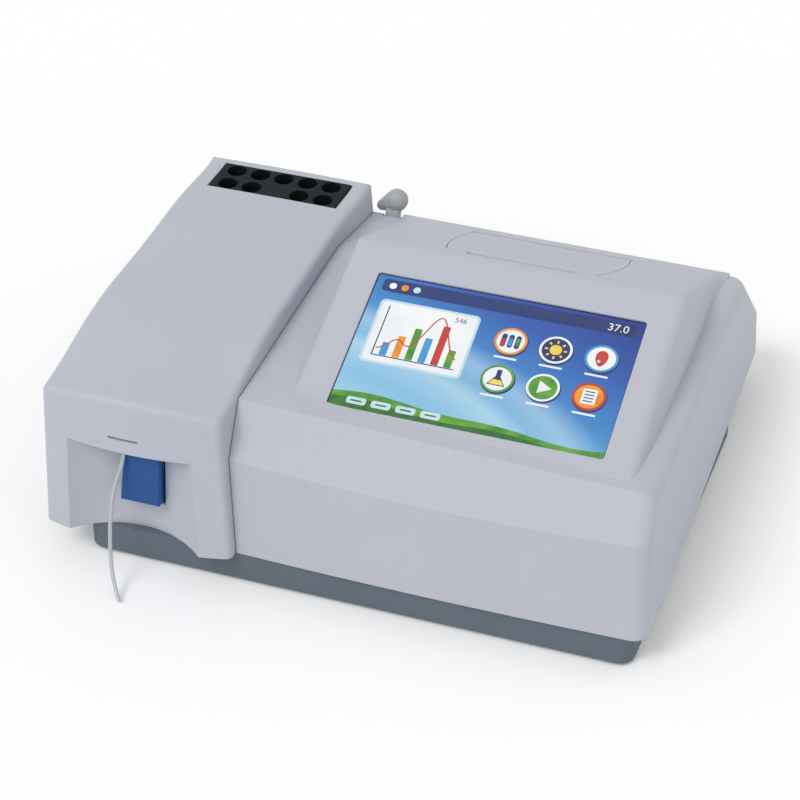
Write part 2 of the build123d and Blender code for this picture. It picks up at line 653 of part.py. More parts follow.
def console_form(inset):
    """The raised console: a deck that slopes up to a crest, and a rear slope behind it."""
    low_z = REAR_EDGE_Z - 2 * WALL - inset
    foot_z = SHOULDER_Z_RIGHT - WALL - inset
    deck_z = CREST_Z - inset / cos(TILT)
    slope_z = CREST_Z - inset / cos(REAR_SLOPE)
    fall = tan(REAR_SLOPE)
    shift_y = (slope_z - deck_z) / (RISE + fall)
    front_y = BAND_TOP_Y - CONSOLE_OVERRUN
    front_z = deck_z - (CREST_Y - front_y) * RISE
    crest_y = CREST_Y + shift_y
    crest_z = deck_z + shift_y * RISE
    rear_y = CONSOLE_REAR_Y - inset
    rear_z = slope_z - (rear_y - CREST_Y) * fall
    with BuildPart() as form:
        for x, top_z in ((DECK_X0 - CONSOLE_FLARE + inset, foot_z), (DECK_X0 + inset, crest_z),
                         (DECK_X1 - inset, crest_z), (DECK_X1 + CONSOLE_FLARE - inset, foot_z)):
            with BuildSketch(Plane.YZ.offset(x)):
                Polygon((front_y, low_z), (front_y, front_z), (crest_y, top_z),
                        (rear_y, rear_z), (rear_y, low_z), align=None)
        loft(ruled=True)
        with BuildSketch(Plane.YZ.offset(MODULE_X1)):
            shift = inset / cos(BAND_LEAN)
            Polygon((band_y(low_z) + shift, low_z), (band_y(TALL) + shift, TALL),
                    (Y_REAR, TALL), (Y_REAR, low_z), align=None)
        extrude(amount=WIDTH, mode=Mode.INTERSECT)
    return form.part


def cover_form():
    """The whole main cover: the lower form with the console on it, deck and crest edges round."""
    lower = main_form(0)
    console = console_form(0)
    lean = radians(MODULE_DRAFT)
    with BuildPart() as form:
        add(lower)
        split(bisect_by=Plane(origin=(MODULE_X1 + GAP, 0, BODY_Z), z_dir=(cos(lean), 0, sin(lean))),
              keep=Keep.TOP)
        add(console)
        ridge = form.edges().filter_by(lambda e: e.center().Z > CREST_Z - WIDE / 2 and e.length > WIDE)
        fillet(ridge, CONSOLE_EDGE_R)
    return form.part


def alcove_form(grow):
    """What the alcove takes out of the module's nose, moved outwards by grow."""
    with BuildPart() as form:
        with BuildSketch(Plane.XY.offset(BODY_Z - CAVITY_DROP)):
            with Locations((ALCOVE_XC, ALCOVE_YC)):
                Circle(ALCOVE_R + grow)
        extrude(amount=ALCOVE_TOP_Z + grow - BODY_Z + CAVITY_DROP)
    return form.part


def button_face(plane, side, drop, rise):
    """The button's front outline on a plane that faces along Y, widened by side, drop and rise."""
    with BuildSketch(plane, mode=Mode.PRIVATE) as face:
        low = drop - BUTTON_Z[0]
        top = -BUTTON_Z[1] - rise
        Polygon((BUTTON_BOTTOM_X[0] - side, low), (BUTTON_BOTTOM_X[1] + side, low),
                (BUTTON_TOP_X[1] + side, top), (BUTTON_TOP_X[0] - side, top), align=None)
    return face.sketch


def lid_face(grow):
    """The printer lid's outline on the rear slope, moved outwards by grow, up to its hinge axis."""
    half = LID_W / 2 + grow
    corner = half - LID_BULGE
    start = LID_START - grow
    with BuildSketch(SLOPE, mode=Mode.PRIVATE) as face:
        with BuildLine():
            left = (-corner, start)
            right = (corner, start)
            end_r = (half - LID_BULGE / 3, LID_AXIS)
            end_l = (-half + LID_BULGE / 3, LID_AXIS)
            mid_y = (start + LID_AXIS) / 2
            Line(left, right)
            ThreePointArc(right, (half, mid_y), end_r)
            Line(end_r, end_l)
            ThreePointArc(end_l, (-half, mid_y), left)
        make_face()
    return face.sketch


def pedestal_plan():
    """The pedestal's outline, its right side running outwards to the rear."""
    Polygon((BASE_X0, BASE_Y0), (BASE_X1, BASE_Y0), (BASE_X1 + BASE_FLARE, BASE_Y1),
            (BASE_X0, BASE_Y1), align=None)


# ------------------------------------------------------------------ pedestal and chassis
foot_places = [
    (BASE_X0 + FOOT_INSET, BASE_Y0 + FOOT_INSET),
    (BASE_X1 - FOOT_INSET, BASE_Y0 + FOOT_INSET),
    (BASE_X1 - FOOT_INSET, BASE_Y1 - FOOT_INSET),
    (BASE_X0 + FOOT_INSET, BASE_Y1 - FOOT_INSET),
]

with BuildPart() as base_tray:
    with BuildSketch(Plane.XY.offset(FOOT_H)) as outline:
        pedestal_plan()
        fillet(outline.vertices(), BASE_CORNER_R)
    extrude(amount=BASE_H)
    with BuildSketch(Plane.XY.offset(TUB_Z)) as hollow:
        pedestal_plan()
        fillet(hollow.vertices(), BASE_CORNER_R)
        offset(amount=-WALL)
        with Locations((0, BASE_Y0)):
            Rectangle(WIDTH, 2 * FRONT_RIM, mode=Mode.SUBTRACT)
    extrude(amount=BASE_H, mode=Mode.SUBTRACT)
    with BuildSketch(Plane.XY.offset(FOOT_H)):
        for side in (-1, 1):
            with Locations(((BASE_X0 + BASE_X1) / 2 + side * WIDTH / 4, (BASE_Y0 + BASE_Y1) / 2)):
                with GridLocations(VENT_SLOT[0], VENT_PITCH, 1, VENT_COUNT):
                    SlotOverall(*VENT_SLOT)
    extrude(amount=WALL, mode=Mode.SUBTRACT)
    for x, y in foot_places:
        bar(along_z(x, y, FOOT_H), FOOT_STUD_R + RUN_FIT, WALL, mode=Mode.SUBTRACT)
    for x, y in MAIN_RIM_SCREWS:
        bar(along_z(x, y, FOOT_H), SCREW_R + SCREW_FIT, BASE_H, mode=Mode.SUBTRACT)
        bar(along_z(x, y, FOOT_H), SCREW_HEAD_R + RUN_FIT, SCREW_SINK, mode=Mode.SUBTRACT)
base_tray.part.label = "base_tray"
export_step(base_tray.part, "parts/base_tray.step")

with BuildPart() as rubber_feet:
    for x, y in foot_places:
        bar(along_z(x, y, 0), FOOT_R, FOOT_H)
    chamfer(rubber_feet.faces().sort_by(Axis.Z)[0:4].edges(), FOOT_H / 4)
    for x, y in foot_places:
        bar(along_z(x, y, FOOT_H), FOOT_STUD_R, WALL)
        bar(along_z(x, y, TUB_Z), FOOT_STUD_HEAD_R, FOOT_H / 2)
rubber_feet.part.label = "rubber_feet"
export_step(rubber_feet.part, "parts/rubber_feet.step")

with BuildPart() as chassis_plate:
    with BuildSketch(Plane.XY.offset(BODY_Z)) as outline:
        add(module_plan(Y_REAR, WALL + GAP))
        add(main_plan(Y_REAR, WALL + GAP))
        fillet(outline.vertices().group_by(Axis.Y)[0], MODULE_CORNER_R - WALL - GAP)
        fillet(outline.vertices().group_by(Axis.X)[-1], SIDE_EDGE_R - WALL)
    extrude(amount=PLATE_T)
    add(alcove_form(WALL + GAP), mode=Mode.SUBTRACT)
    block(ACCESS_X, ACCESS_Y, (BODY_Z, FLOOR_Z), mode=Mode.SUBTRACT)
    for x, y in MODULE_SCREWS + MAIN_RIM_SCREWS + MAIN_REAR_SCREWS:
        bar(along_z(x, y, BODY_Z), SCREW_R + SCREW_FIT, PLATE_T, mode=Mode.SUBTRACT)
chassis_plate.part.label = "chassis_plate"
export_step(chassis_plate.part, "parts/chassis_plate.step")

# ------------------------------------------------------------------ sample module cover
with BuildPart() as module_room:
    add(module_form(WALL))
    add(alcove_form(WALL), mode=Mode.SUBTRACT)

with BuildPart() as module_cover:
    add(module_form(0))
    add(alcove_form(0), mode=Mode.SUBTRACT)
    add(module_room.part, mode=Mode.SUBTRACT)
    # opening for the incubator block
    block((BLOCK_X[0] - BLOCK_FIT, BLOCK_X[1] + BLOCK_FIT), (BLOCK_Y[0] - BLOCK_FIT, BLOCK_Y[1] + BLOCK_FIT),
          (BLOCK_BOTTOM_Z, TALL), mode=Mode.SUBTRACT)
    # window of the sample button, through the alcove's wall only
    window_plane = along_y(0, BUTTON_FRONT_Y, 0)
    extrude(button_face(window_plane, BUTTON_SIDE_GAP, BUTTON_DROP, BUTTON_SIDE_GAP),
            amount=BUTTON_BACK_Y - BUTTON_FRONT_Y, mode=Mode.SUBTRACT)
    # bore of the tube's bush, through the alcove's ceiling
    bar(along_z(*BUSH_AT, ALCOVE_TOP_Z), BUSH_R, WALL + BUSH_TOP,
        mode=Mode.SUBTRACT)
    # breathing slit in the nose
    block(about(VENT_SLIT_X, VENT_SLIT[0]), (Y_NOSE, ALCOVE_YC + ALCOVE_R), about(VENT_SLIT_Z, VENT_SLIT[1]),
          mode=Mode.SUBTRACT)
    # window to the main cover, for tubes and wires
    block((MODULE_X1 - 3 * WALL, MODULE_X1), *WIRE_WINDOW, mode=Mode.SUBTRACT)
    # the wall beside the main cover stands on the chassis plate
    block((MODULE_X1 - 2 * WALL, MODULE_X1 + WALL), (MAIN_Y0 + MAIN_BOW, Y_REAR - WALL), (BODY_Z, FLOOR_Z),
          mode=Mode.SUBTRACT)
    # bosses for the screws, on the side wall and on the rear wall
    for x, y in MODULE_SIDE_SCREWS:
        block((X_LEFT + WALL, x + BOSS_W / 2), about(y, BOSS_W), (FLOOR_Z, BOSS_TOP_Z))
    for x, y in MODULE_REAR_SCREWS:
        block(about(x, BOSS_W), (y - BOSS_W / 2, Y_REAR - WALL), (FLOOR_Z, BOSS_TOP_Z))
    for x, y in MODULE_SCREWS:
        bar(along_z(x, y, FLOOR_Z), SCREW_R + SCREW_FIT, SCREW_BITE + SCREW_REST, mode=Mode.SUBTRACT)
module_cover.part.label = "module_cover"
export_step(module_cover.part, "parts/module_cover.step")

# ------------------------------------------------------------------ main cover
cover = cover_form()

with BuildPart() as bay_walls:
    add(cover)
    block((BAY_X[0] - WALL, BAY_X[1] + WALL), (BAY_Y - WALL, Y_REAR), (BAY_FLOOR_Z, BAY_TOP_Z + WALL),
          mode=Mode.INTERSECT)

with BuildPart() as main_cover:
    add(cover)
    add(main_form(WALL), mode=Mode.SUBTRACT)
    add(console_form(WALL), mode=Mode.SUBTRACT)
    add(bay_walls.part)
    # connector bay and the window in its wall
    block(BAY_X, (BAY_Y, Y_REAR), (BAY_FLOOR_Z, BAY_TOP_Z), mode=Mode.SUBTRACT)
    block(WINDOW_X, (BAY_Y - WALL, BAY_Y), WINDOW_Z, mode=Mode.SUBTRACT)
    # display window, and the rebate behind it that the glass lies in
    with BuildSketch(DECK):
        RectangleRounded(DISPLAY_W + 2 * WINDOW_MARGIN, DISPLAY_H + 2 * WINDOW_MARGIN, WINDOW_R)
    extrude(amount=-WALL, mode=Mode.SUBTRACT)
    block(about(0, GLASS[0] + 2 * GLASS_FIT), about(0, GLASS[1] + 2 * GLASS_FIT), (-WALL, -BEZEL_T),
          mode=Mode.SUBTRACT, on=DECK)
    # printer opening: the lid's outline, its barrel, the lugs of its pin and the paper slot
    extrude(lid_face(GAP), amount=-2 * WALL, mode=Mode.SUBTRACT)
    block(about(0, LID_W - LID_BULGE / 3), (LID_AXIS - 1, LID_AXIS + LID_BARREL_R + GAP),
          (-2 * WALL, WALL), mode=Mode.SUBTRACT, on=SLOPE)
    block(about(0, PAPER_SLOT[0]), (LID_START - PAPER_SLOT[1], LID_START), (-2 * WALL, WALL),
          mode=Mode.SUBTRACT, on=SLOPE)
    for side in (-1, 1):
        block(sorted((side * LUG_X, side * (LUG_X + LID_LUG))), about(LID_AXIS, 2 * LID_BARREL_R),
              (-2 * LID_BARREL_R, -WALL / 2), on=SLOPE)
    slope_bar(LID_PIN_HALF, LID_AXIS, -LID_BARREL_R, LID_PIN_R, mode=Mode.SUBTRACT)
    # slot of the pump's thumb lever
    block((LEVER_ARM_X[0] - LEVER_SLOT_MARGIN, LEVER_ARM_X[1] + LEVER_SLOT_MARGIN), LEVER_SLOT_Y,
          (LEVER_PIVOT[1], TALL), mode=Mode.SUBTRACT)
    # bosses for the screws
    for x, y in MAIN_RIM_SCREWS:
        block(about(x, BOSS_W), (MAIN_Y0 + WALL, y + BOSS_W / 2), (FLOOR_Z, BOSS_TOP_Z))
    for x, y in MAIN_REAR_SCREWS:
        block(about(x, BOSS_W), (y - BOSS_W / 2, Y_REAR - WALL), (FLOOR_Z, BOSS_TOP_Z))
    for x, y in MAIN_RIM_SCREWS + MAIN_REAR_SCREWS:
        bar(along_z(x, y, FLOOR_Z), SCREW_R + SCREW_FIT, SCREW_BITE + SCREW_REST, mode=Mode.SUBTRACT)
main_cover.part.label = "main_cover"
export_step(main_cover.part, "parts/main_cover.step")

# ------------------------------------------------------------------ display
with BuildPart() as touch_glass:
    block(about(0, GLASS[0]), about(0, GLASS[1]), (-BEZEL_T - GLASS[2], -BEZEL_T), on=DECK)
touch_glass.part.label = "touch_glass"
export_step(touch_glass.part, "parts/touch_glass.step")

PANEL_BACK = -BEZEL_T - GLASS[2] - PANEL_T
with BuildPart() as display_panel:
    block(about(0, GLASS[0]), about(0, PANEL_H), (PANEL_BACK, -BEZEL_T - GLASS[2]), on=DECK)
display_panel.part.label = "display_panel"
export_step(display_panel.part, "parts/display_panel.step")

FRAME_W = GLASS[0] + 2 * GLASS_FIT + 2 * FRAME_RIM
FRAME_H = GLASS[1] + 2 * GLASS_FIT + 2 * FRAME_RIM
with BuildPart() as display_frame:
    block(about(0, FRAME_W), about(0, FRAME_H), (PANEL_BACK - FRAME_BACK, -WALL), on=DECK)
    block(about(0, GLASS[0] + 2 * GLASS_FIT), about(0, GLASS[1] + 2 * GLASS_FIT), (PANEL_BACK, 0),
          mode=Mode.SUBTRACT, on=DECK)
    block(about(0, FRAME_CUTOUT[0]), about(0, FRAME_CUTOUT[1]), (PANEL_BACK - FRAME_BACK, PANEL_BACK),
          mode=Mode.SUBTRACT, on=DECK)
display_frame.part.label = "display_frame"
export_step(display_frame.part, "parts/display_frame.step")

# ------------------------------------------------------------------ printer
LID_HALF = LID_W / 2 - LID_BULGE / 3
with BuildPart() as printer_lid:
    extrude(lid_face(0), amount=-WALL)
    slope_bar(LID_HALF, LID_AXIS, -LID_BARREL_R, LID_BARREL_R)
    slope_bar(LID_HALF, LID_AXIS, -LID_BARREL_R, LID_PIN_R + RUN_FIT, mode=Mode.SUBTRACT)
    front = printer_lid.edges().filter_by(lambda e: e.length > LID_W / 2).sort_by(Axis.Z)[-1]
    fillet(front, LID_FRONT_T)
printer_lid.part.label = "printer_lid"
export_step(printer_lid.part, "parts/printer_lid.step")

with BuildPart() as lid_pin:
    slope_bar(LID_PIN_HALF, LID_AXIS, -LID_BARREL_R, LID_PIN_R)
lid_pin.part.label = "lid_pin"
export_step(lid_pin.part, "parts/lid_pin.step")

with BuildPart() as printer_frame:
    # shelf under the lid with rails that reach the cover beside its opening
    block((-SHELF_X, SHELF_X), BUCKET_Y, (SHELF_Z[0], -WALL), on=SLOPE)
    block(about(0, LID_W + 2 * GAP), (0, DEPTH), (SHELF_Z[1], 0), mode=Mode.SUBTRACT, on=SLOPE)
    # bucket for the paper roll
    block((-ROLL_WALL_X, ROLL_WALL_X), BUCKET_Y, (-BUCKET_DEPTH, SHELF_Z[1]), on=SLOPE)
    block((BUCKET_WALL - ROLL_WALL_X, ROLL_WALL_X - BUCKET_WALL),
          (BUCKET_Y[0] + BUCKET_WALL, BUCKET_Y[1] - BUCKET_WALL),
          (BUCKET_WALL - BUCKET_DEPTH, 0), mode=Mode.SUBTRACT, on=SLOPE)
    slope_bar(ROLL_WALL_X, PAPER_Y, PAPER_Z, SPINDLE_R, mode=Mode.SUBTRACT)
    slope_bar(ROLL_WALL_X, PLATEN_Y, PLATEN_Z, PLATEN_SHAFT_R + RUN_FIT, mode=Mode.SUBTRACT)
printer_frame.part.label = "printer_frame"
export_step(printer_frame.part, "parts/printer_frame.step")

with BuildPart() as paper_spindle:
    slope_bar(ROLL_WALL_X, PAPER_Y, PAPER_Z, SPINDLE_R)
paper_spindle.part.label = "paper_spindle"
export_step(paper_spindle.part, "parts/paper_spindle.step")

with BuildPart() as paper_roll:
    slope_bar(PAPER_W / 2, PAPER_Y, PAPER_Z, PAPER_R)
    slope_bar(PAPER_W / 2, PAPER_Y, PAPER_Z, SPINDLE_R + RUN_FIT, mode=Mode.SUBTRACT)
paper_roll.part.label = "paper_roll"
export_step(paper_roll.part, "parts/paper_roll.step")

with BuildPart() as platen_roller:
    slope_bar(PAPER_W / 2, PLATEN_Y, PLATEN_Z, PLATEN_R)
    slope_bar(ROLL_WALL_X, PLATEN_Y, PLATEN_Z, PLATEN_SHAFT_R)
platen_roller.part.label = "platen_roller"
export_step(platen_roller.part, "parts/platen_roller.step")

with BuildPart() as print_head:
    block(about(0, PAPER_W), (BUCKET_Y[0] + BUCKET_WALL, BUCKET_Y[0] + BUCKET_WALL + HEAD_T),
          about(PLATEN_Z, HEAD_H), on=SLOPE)
print_head.part.label = "print_head"
export_step(print_head.part, "parts/print_head.step")

with BuildPart() as tear_bar:
    block(about(0, PAPER_W), (BUCKET_Y[0] + GAP, BUCKET_Y[0] + GAP + TEAR_T), (SHELF_Z[1], 0), on=SLOPE)
    teeth = int(PAPER_W / TEAR_TOOTH)
    with BuildSketch(SLOPE * Plane(origin=(0, BUCKET_Y[0] + GAP, 0), x_dir=(1, 0, 0), z_dir=(0, 1, 0))):
        with GridLocations(TEAR_TOOTH, 1, teeth, 1):
            Polygon((-TEAR_TOOTH / 2, 0), (TEAR_TOOTH / 2, 0), (0, TEAR_TOOTH), align=None)
    extrude(amount=TEAR_T, mode=Mode.SUBTRACT)
tear_bar.part.label = "tear_bar"
export_step(tear_bar.part, "parts/tear_bar.step")

# ------------------------------------------------------------------ incubator
with BuildPart() as incubator_block:
    block(BLOCK_X, BLOCK_Y, (BLOCK_BOTTOM_Z, BLOCK_TOP_Z))
    chamfer(incubator_block.edges().group_by(Axis.Z)[-1], BLOCK_CHAMFER)
    for row, y in enumerate(WELL_ROWS):
        for column in range(WELL_COLUMNS):
            if row == 0 or column != WELL_COLUMNS // 2:
                x = BLOCK_XC + WELL_PITCH * (column - (WELL_COLUMNS - 1) / 2)
                bar(along_z(x, y, BLOCK_TOP_Z - WELL_DEPTH), WELL_R, WELL_DEPTH, mode=Mode.SUBTRACT)
incubator_block.part.label = "incubator_block"
export_step(incubator_block.part, "parts/incubator_block.step")

with BuildPart() as heater_plate:
    block(BLOCK_X, BLOCK_Y, (STAND_TOP_Z, BLOCK_BOTTOM_Z))
heater_plate.part.label = "heater_plate"
export_step(heater_plate.part, "parts/heater_plate.step")

with BuildPart() as incubator_stand:
    block(BLOCK_X, BLOCK_Y, (FLOOR_Z, STAND_TOP_Z))
    block((BLOCK_X[0] + STAND_T, BLOCK_X[1] - STAND_T), BLOCK_Y, (FLOOR_Z, STAND_TOP_Z - STAND_T),
          mode=Mode.SUBTRACT)
incubator_stand.part.label = "incubator_stand"
export_step(incubator_stand.part, "parts/incubator_stand.step")

# ------------------------------------------------------------------ optics
with BuildPart() as optics_bench:
    block(BENCH[0], BENCH[1], (FLOOR_Z, BENCH_TOP_Z))
optics_bench.part.label = "optics_bench"
export_step(optics_bench.part, "parts/optics_bench.step")

HOUSING_TOP_Z = BENCH_TOP_Z + HOUSING_H
with BuildPart() as lamp_housing:
    block(about(OPTIC_X, HOUSING_X), HOUSING_Y, (BENCH_TOP_Z, HOUSING_TOP_Z))
    block(about(OPTIC_X, HOUSING_X - 2 * HOUSING_WALL),
          (HOUSING_Y[0] + HOUSING_WALL, HOUSING_Y[1] - HOUSING_WALL),
          (BENCH_TOP_Z + HOUSING_WALL, HOUSING_TOP_Z), mode=Mode.SUBTRACT)
    bar(along_y(OPTIC_X, HOUSING_Y[0], OPTIC_Z), LAMP_APERTURE_R, HOUSING_WALL, mode=Mode.SUBTRACT)
lamp_housing.part.label = "lamp_housing"
export_step(lamp_housing.part, "parts/lamp_housing.step")

LAMP_Y = (HOUSING_Y[0] + HOUSING_Y[1]) / 2
with BuildPart() as halogen_lamp:
    bar(along_z(OPTIC_X, LAMP_Y, BENCH_TOP_Z + HOUSING_WALL), LAMP_BASE_R, OPTIC_Z - BENCH_TOP_Z - 3 * LAMP_R)
    bar(along_z(OPTIC_X, LAMP_Y, OPTIC_Z - 3 * LAMP_R), LAMP_R, 3 * LAMP_R)
    with Locations((OPTIC_X, LAMP_Y, OPTIC_Z)):
        Sphere(LAMP_R)
halogen_lamp.part.label = "halogen_lamp"
export_step(halogen_lamp.part, "parts/halogen_lamp.step")

with BuildPart() as lens_barrel:
    bar(along_y(OPTIC_X, HOUSING_Y[0] - BARREL_LEN, OPTIC_Z), BARREL_R, BARREL_LEN)
    bar(along_y(OPTIC_X, HOUSING_Y[0] - BARREL_LEN, OPTIC_Z), BARREL_R - BARREL_WALL, BARREL_LEN,
        mode=Mode.SUBTRACT)
lens_barrel.part.label = "lens_barrel"
export_step(lens_barrel.part, "parts/lens_barrel.step")

with BuildPart() as condenser_lens:
    lens_r = BARREL_R - BARREL_WALL
    ball_r = (lens_r**2 + (LENS_T / 2) ** 2) / LENS_T
    lens_y = HOUSING_Y[0] - BARREL_LEN / 2
    with Locations((OPTIC_X, lens_y + ball_r - LENS_T / 2, OPTIC_Z)):
        Sphere(ball_r)
    with Locations((OPTIC_X, lens_y - ball_r + LENS_T / 2, OPTIC_Z)):
        Sphere(ball_r, mode=Mode.INTERSECT)
condenser_lens.part.label = "condenser_lens"
export_step(condenser_lens.part, "parts/condenser_lens.step")

filter_places = ring(WHEEL_X, OPTIC_Z, FILTER_ORBIT, FILTER_COUNT)
with BuildPart() as filter_wheel:
    bar(along_y(WHEEL_X, WHEEL_Y, OPTIC_Z), WHEEL_R, WHEEL_T)
    bar(along_y(WHEEL_X, WHEEL_Y + WHEEL_T, OPTIC_Z), *WHEEL_HUB)
    bar(along_y(WHEEL_X, WHEEL_Y - WHEEL_T / 2, OPTIC_Z), WHEEL_SHAFT_R, HUB_END_Y - WHEEL_Y + MOTOR_LEN)
    for x, z in filter_places:
        bar(along_y(x, WHEEL_Y, z), FILTER_R + FILTER_FIT, FILTER_T, mode=Mode.SUBTRACT)
        bar(along_y(x, WHEEL_Y, z), FILTER_R - FILTER_LEDGE, WHEEL_T, mode=Mode.SUBTRACT)
filter_wheel.part.label = "filter_wheel"
export_step(filter_wheel.part, "parts/filter_wheel.step")

with BuildPart() as interference_filters:
    for x, z in filter_places:
        bar(along_y(x, WHEEL_Y, z), FILTER_R, FILTER_T)
interference_filters.part.label = "interference_filters"
export_step(interference_filters.part, "parts/interference_filters.step")

MOTOR_Y = HUB_END_Y + GAP
with BuildPart() as filter_motor:
    block(about(WHEEL_X, MOTOR_PLATE[0]), (MOTOR_Y, MOTOR_Y + MOTOR_PLATE[1]),
          (BENCH_TOP_Z, OPTIC_Z + MOTOR_R))
    bar(along_y(WHEEL_X, MOTOR_Y + MOTOR_PLATE[1], OPTIC_Z), MOTOR_R, MOTOR_LEN)
    bar(along_y(WHEEL_X, MOTOR_Y, OPTIC_Z), WHEEL_SHAFT_R + RUN_FIT, MOTOR_LEN, mode=Mode.SUBTRACT)
filter_motor.part.label = "filter_motor"
export_step(filter_motor.part, "parts/filter_motor.step")

with BuildPart() as cell_holder:
    block(about(OPTIC_X, HOLDER_W), HOLDER_Y, (BENCH_TOP_Z, HOLDER_TOP_Z))
    block(about(OPTIC_X, CELL_W + GAP), about(CELL_Y, CELL_W + GAP), (CELL_Z, HOLDER_TOP_Z),
          mode=Mode.SUBTRACT)
    bar(along_y(OPTIC_X, HOLDER_Y[0], OPTIC_Z), HOLDER_BORE_R, HOLDER_W, mode=Mode.SUBTRACT)
cell_holder.part.label = "cell_holder"
export_step(cell_holder.part, "parts/cell_holder.step")

with BuildPart() as flow_cell:
    block(about(OPTIC_X, CELL_W), about(CELL_Y, CELL_W), (CELL_Z, CELL_Z + CELL_H))
    bar(along_z(OPTIC_X, CELL_Y, OPTIC_Z), CELL_CHANNEL_R, CELL_H, mode=Mode.SUBTRACT)
flow_cell.part.label = "flow_cell"
export_step(flow_cell.part, "parts/flow_cell.step")

DETECTOR_Y = HOLDER_Y[0] - DETECTOR_CAN[1]
with BuildPart() as detector_board:
    block(about(OPTIC_X, DETECTOR_W), (DETECTOR_Y - BOARD_T, DETECTOR_Y),
          (BENCH_TOP_Z, OPTIC_Z + DETECTOR_W / 2))
    bar(along_y(OPTIC_X, DETECTOR_Y, OPTIC_Z), *DETECTOR_CAN)
detector_board.part.label = "detector_board"
export_step(detector_board.part, "parts/detector_board.step")

# ------------------------------------------------------------------ sample button
with BuildPart() as sample_button:
    extrude(button_face(along_y(0, BUTTON_FRONT_Y, 0), 0, 0, 0), amount=BUTTON_BACK_Y - BUTTON_FRONT_Y)
    fillet(sample_button.faces().sort_by(Axis.Y)[0].edges(), BUTTON_EDGE_R)
    bar(along_x(BUTTON_BOTTOM_X[0], BUTTON_PIN_Y, BUTTON_PIN_Z), BUTTON_PIN_R + RUN_FIT, WIDE,
        mode=Mode.SUBTRACT)
sample_button.part.label = "sample_button"
export_step(sample_button.part, "parts/sample_button.step")

with BuildPart() as button_pin:
    bar(along_x(EAR_X[0], BUTTON_PIN_Y, BUTTON_PIN_Z), BUTTON_PIN_R, EAR_X[1] + EAR_T - EAR_X[0])
button_pin.part.label = "button_pin"
export_step(button_pin.part, "parts/button_pin.step")

with BuildPart() as button_bracket:
    block((EAR_X[0], EAR_X[1] + EAR_T), (BRACKET_BACK_Y - BRACKET_T, BRACKET_BACK_Y),
          (FLOOR_Z, BUTTON_PIN_Z + 2 * BUTTON_PIN_R))
    block((EAR_X[0], EAR_X[1] + EAR_T), (BUTTON_PIN_Y, BRACKET_BACK_Y), (FLOOR_Z, FLOOR_Z + BRACKET_T))
    for x in EAR_X:
        block((x, x + EAR_T), (BUTTON_PIN_Y - 2 * BUTTON_PIN_R, BRACKET_BACK_Y),
              about(BUTTON_PIN_Z, 4 * BUTTON_PIN_R))
        bar(along_x(x, BUTTON_PIN_Y, BUTTON_PIN_Z), BUTTON_PIN_R, EAR_T, mode=Mode.SUBTRACT)
button_bracket.part.label = "button_bracket"
export_step(button_bracket.part, "parts/button_bracket.step")

BUTTON_XC = (BUTTON_BOTTOM_X[0] + BUTTON_BOTTOM_X[1]) / 2
PLUNGER_Y = BUTTON_BACK_Y + PLUNGER_GAP
SWITCH_FRONT_Y = BRACKET_BACK_Y - BRACKET_T - SWITCH_BLOCK[1]
with BuildPart() as microswitch:
    block(about(BUTTON_XC, SWITCH_BLOCK[0]), (SWITCH_FRONT_Y, BRACKET_BACK_Y - BRACKET_T),
          about(PLUNGER_Z, SWITCH_BLOCK[2]))
    bar(along_y(BUTTON_XC, SWITCH_FRONT_Y, PLUNGER_Z), PLUNGER_R + RUN_FIT, SWITCH_BLOCK[1] - SWITCH_SKIN,
        mode=Mode.SUBTRACT)
microswitch.part.label = "microswitch"
export_step(microswitch.part, "parts/microswitch.step")

with BuildPart() as switch_plunger:
    bar(along_y(BUTTON_XC, PLUNGER_Y, PLUNGER_Z), PLUNGER_R, PLUNGER_LEN)
switch_plunger.part.label = "switch_plunger"
export_step(switch_plunger.part, "parts/switch_plunger.step")

# ------------------------------------------------------------------ aspiration tube
with BuildPart() as sipper_bush:
    x, y, z = TUBE_ROUTE[0]
    bar(along_z(x, y, z), BUSH_FLANGE_R, BUSH_FLANGE_T)
    bar(along_z(x, y, z), BUSH_R, BUSH_FLANGE_T + WALL + BUSH_TOP)
    bar(along_z(x, y, z), TUBE_R + TUBE_BORE_FIT, BUSH_FLANGE_T + WALL + BUSH_TOP, mode=Mode.SUBTRACT)
sipper_bush.part.label = "sipper_bush"
export_step(sipper_bush.part, "parts/sipper_bush.step")


def bend_radii(route, share):
    """The largest arc at each inner point of a route that its two runs allow."""
    points = [Vector(*p) for p in route]
    radii = []
    for before, here, after in zip(points, points[1:], points[2:]):
        turn = (here - before).get_angle(after - here)
        run = min((here - before).length, (after - here).length)
        radii.append(share * run / tan(radians(turn) / 2))
    return radii


def tube_along(route, radius, share=0.45):
    """A round tube of straight runs and tangent arcs along a route."""
    radii = bend_radii(route, share)
    print("tube of radius", radius, "bends at", [round(r, 1) for r in radii])
    with BuildPart() as tube:
        with BuildLine() as path:
            FilletPolyline(*route, radius=radii)
        with BuildSketch(Plane(origin=route[0], z_dir=Vector(*route[1]) - Vector(*route[0]))):
            Circle(radius)
        sweep()
    length = sum(edge.length for edge in path.edges())
    print("length", round(length, 1), "volume", round(tube.part.volume, 1),
          "of", round(pi * radius**2 * length, 1))
    return tube.part


with BuildPart() as sipper_tube:
    add(tube_along(TUBE_ROUTE, TUBE_R))
sipper_tube.part.label = "sipper_tube"
export_step(sipper_tube.part, "parts/sipper_tube.step")

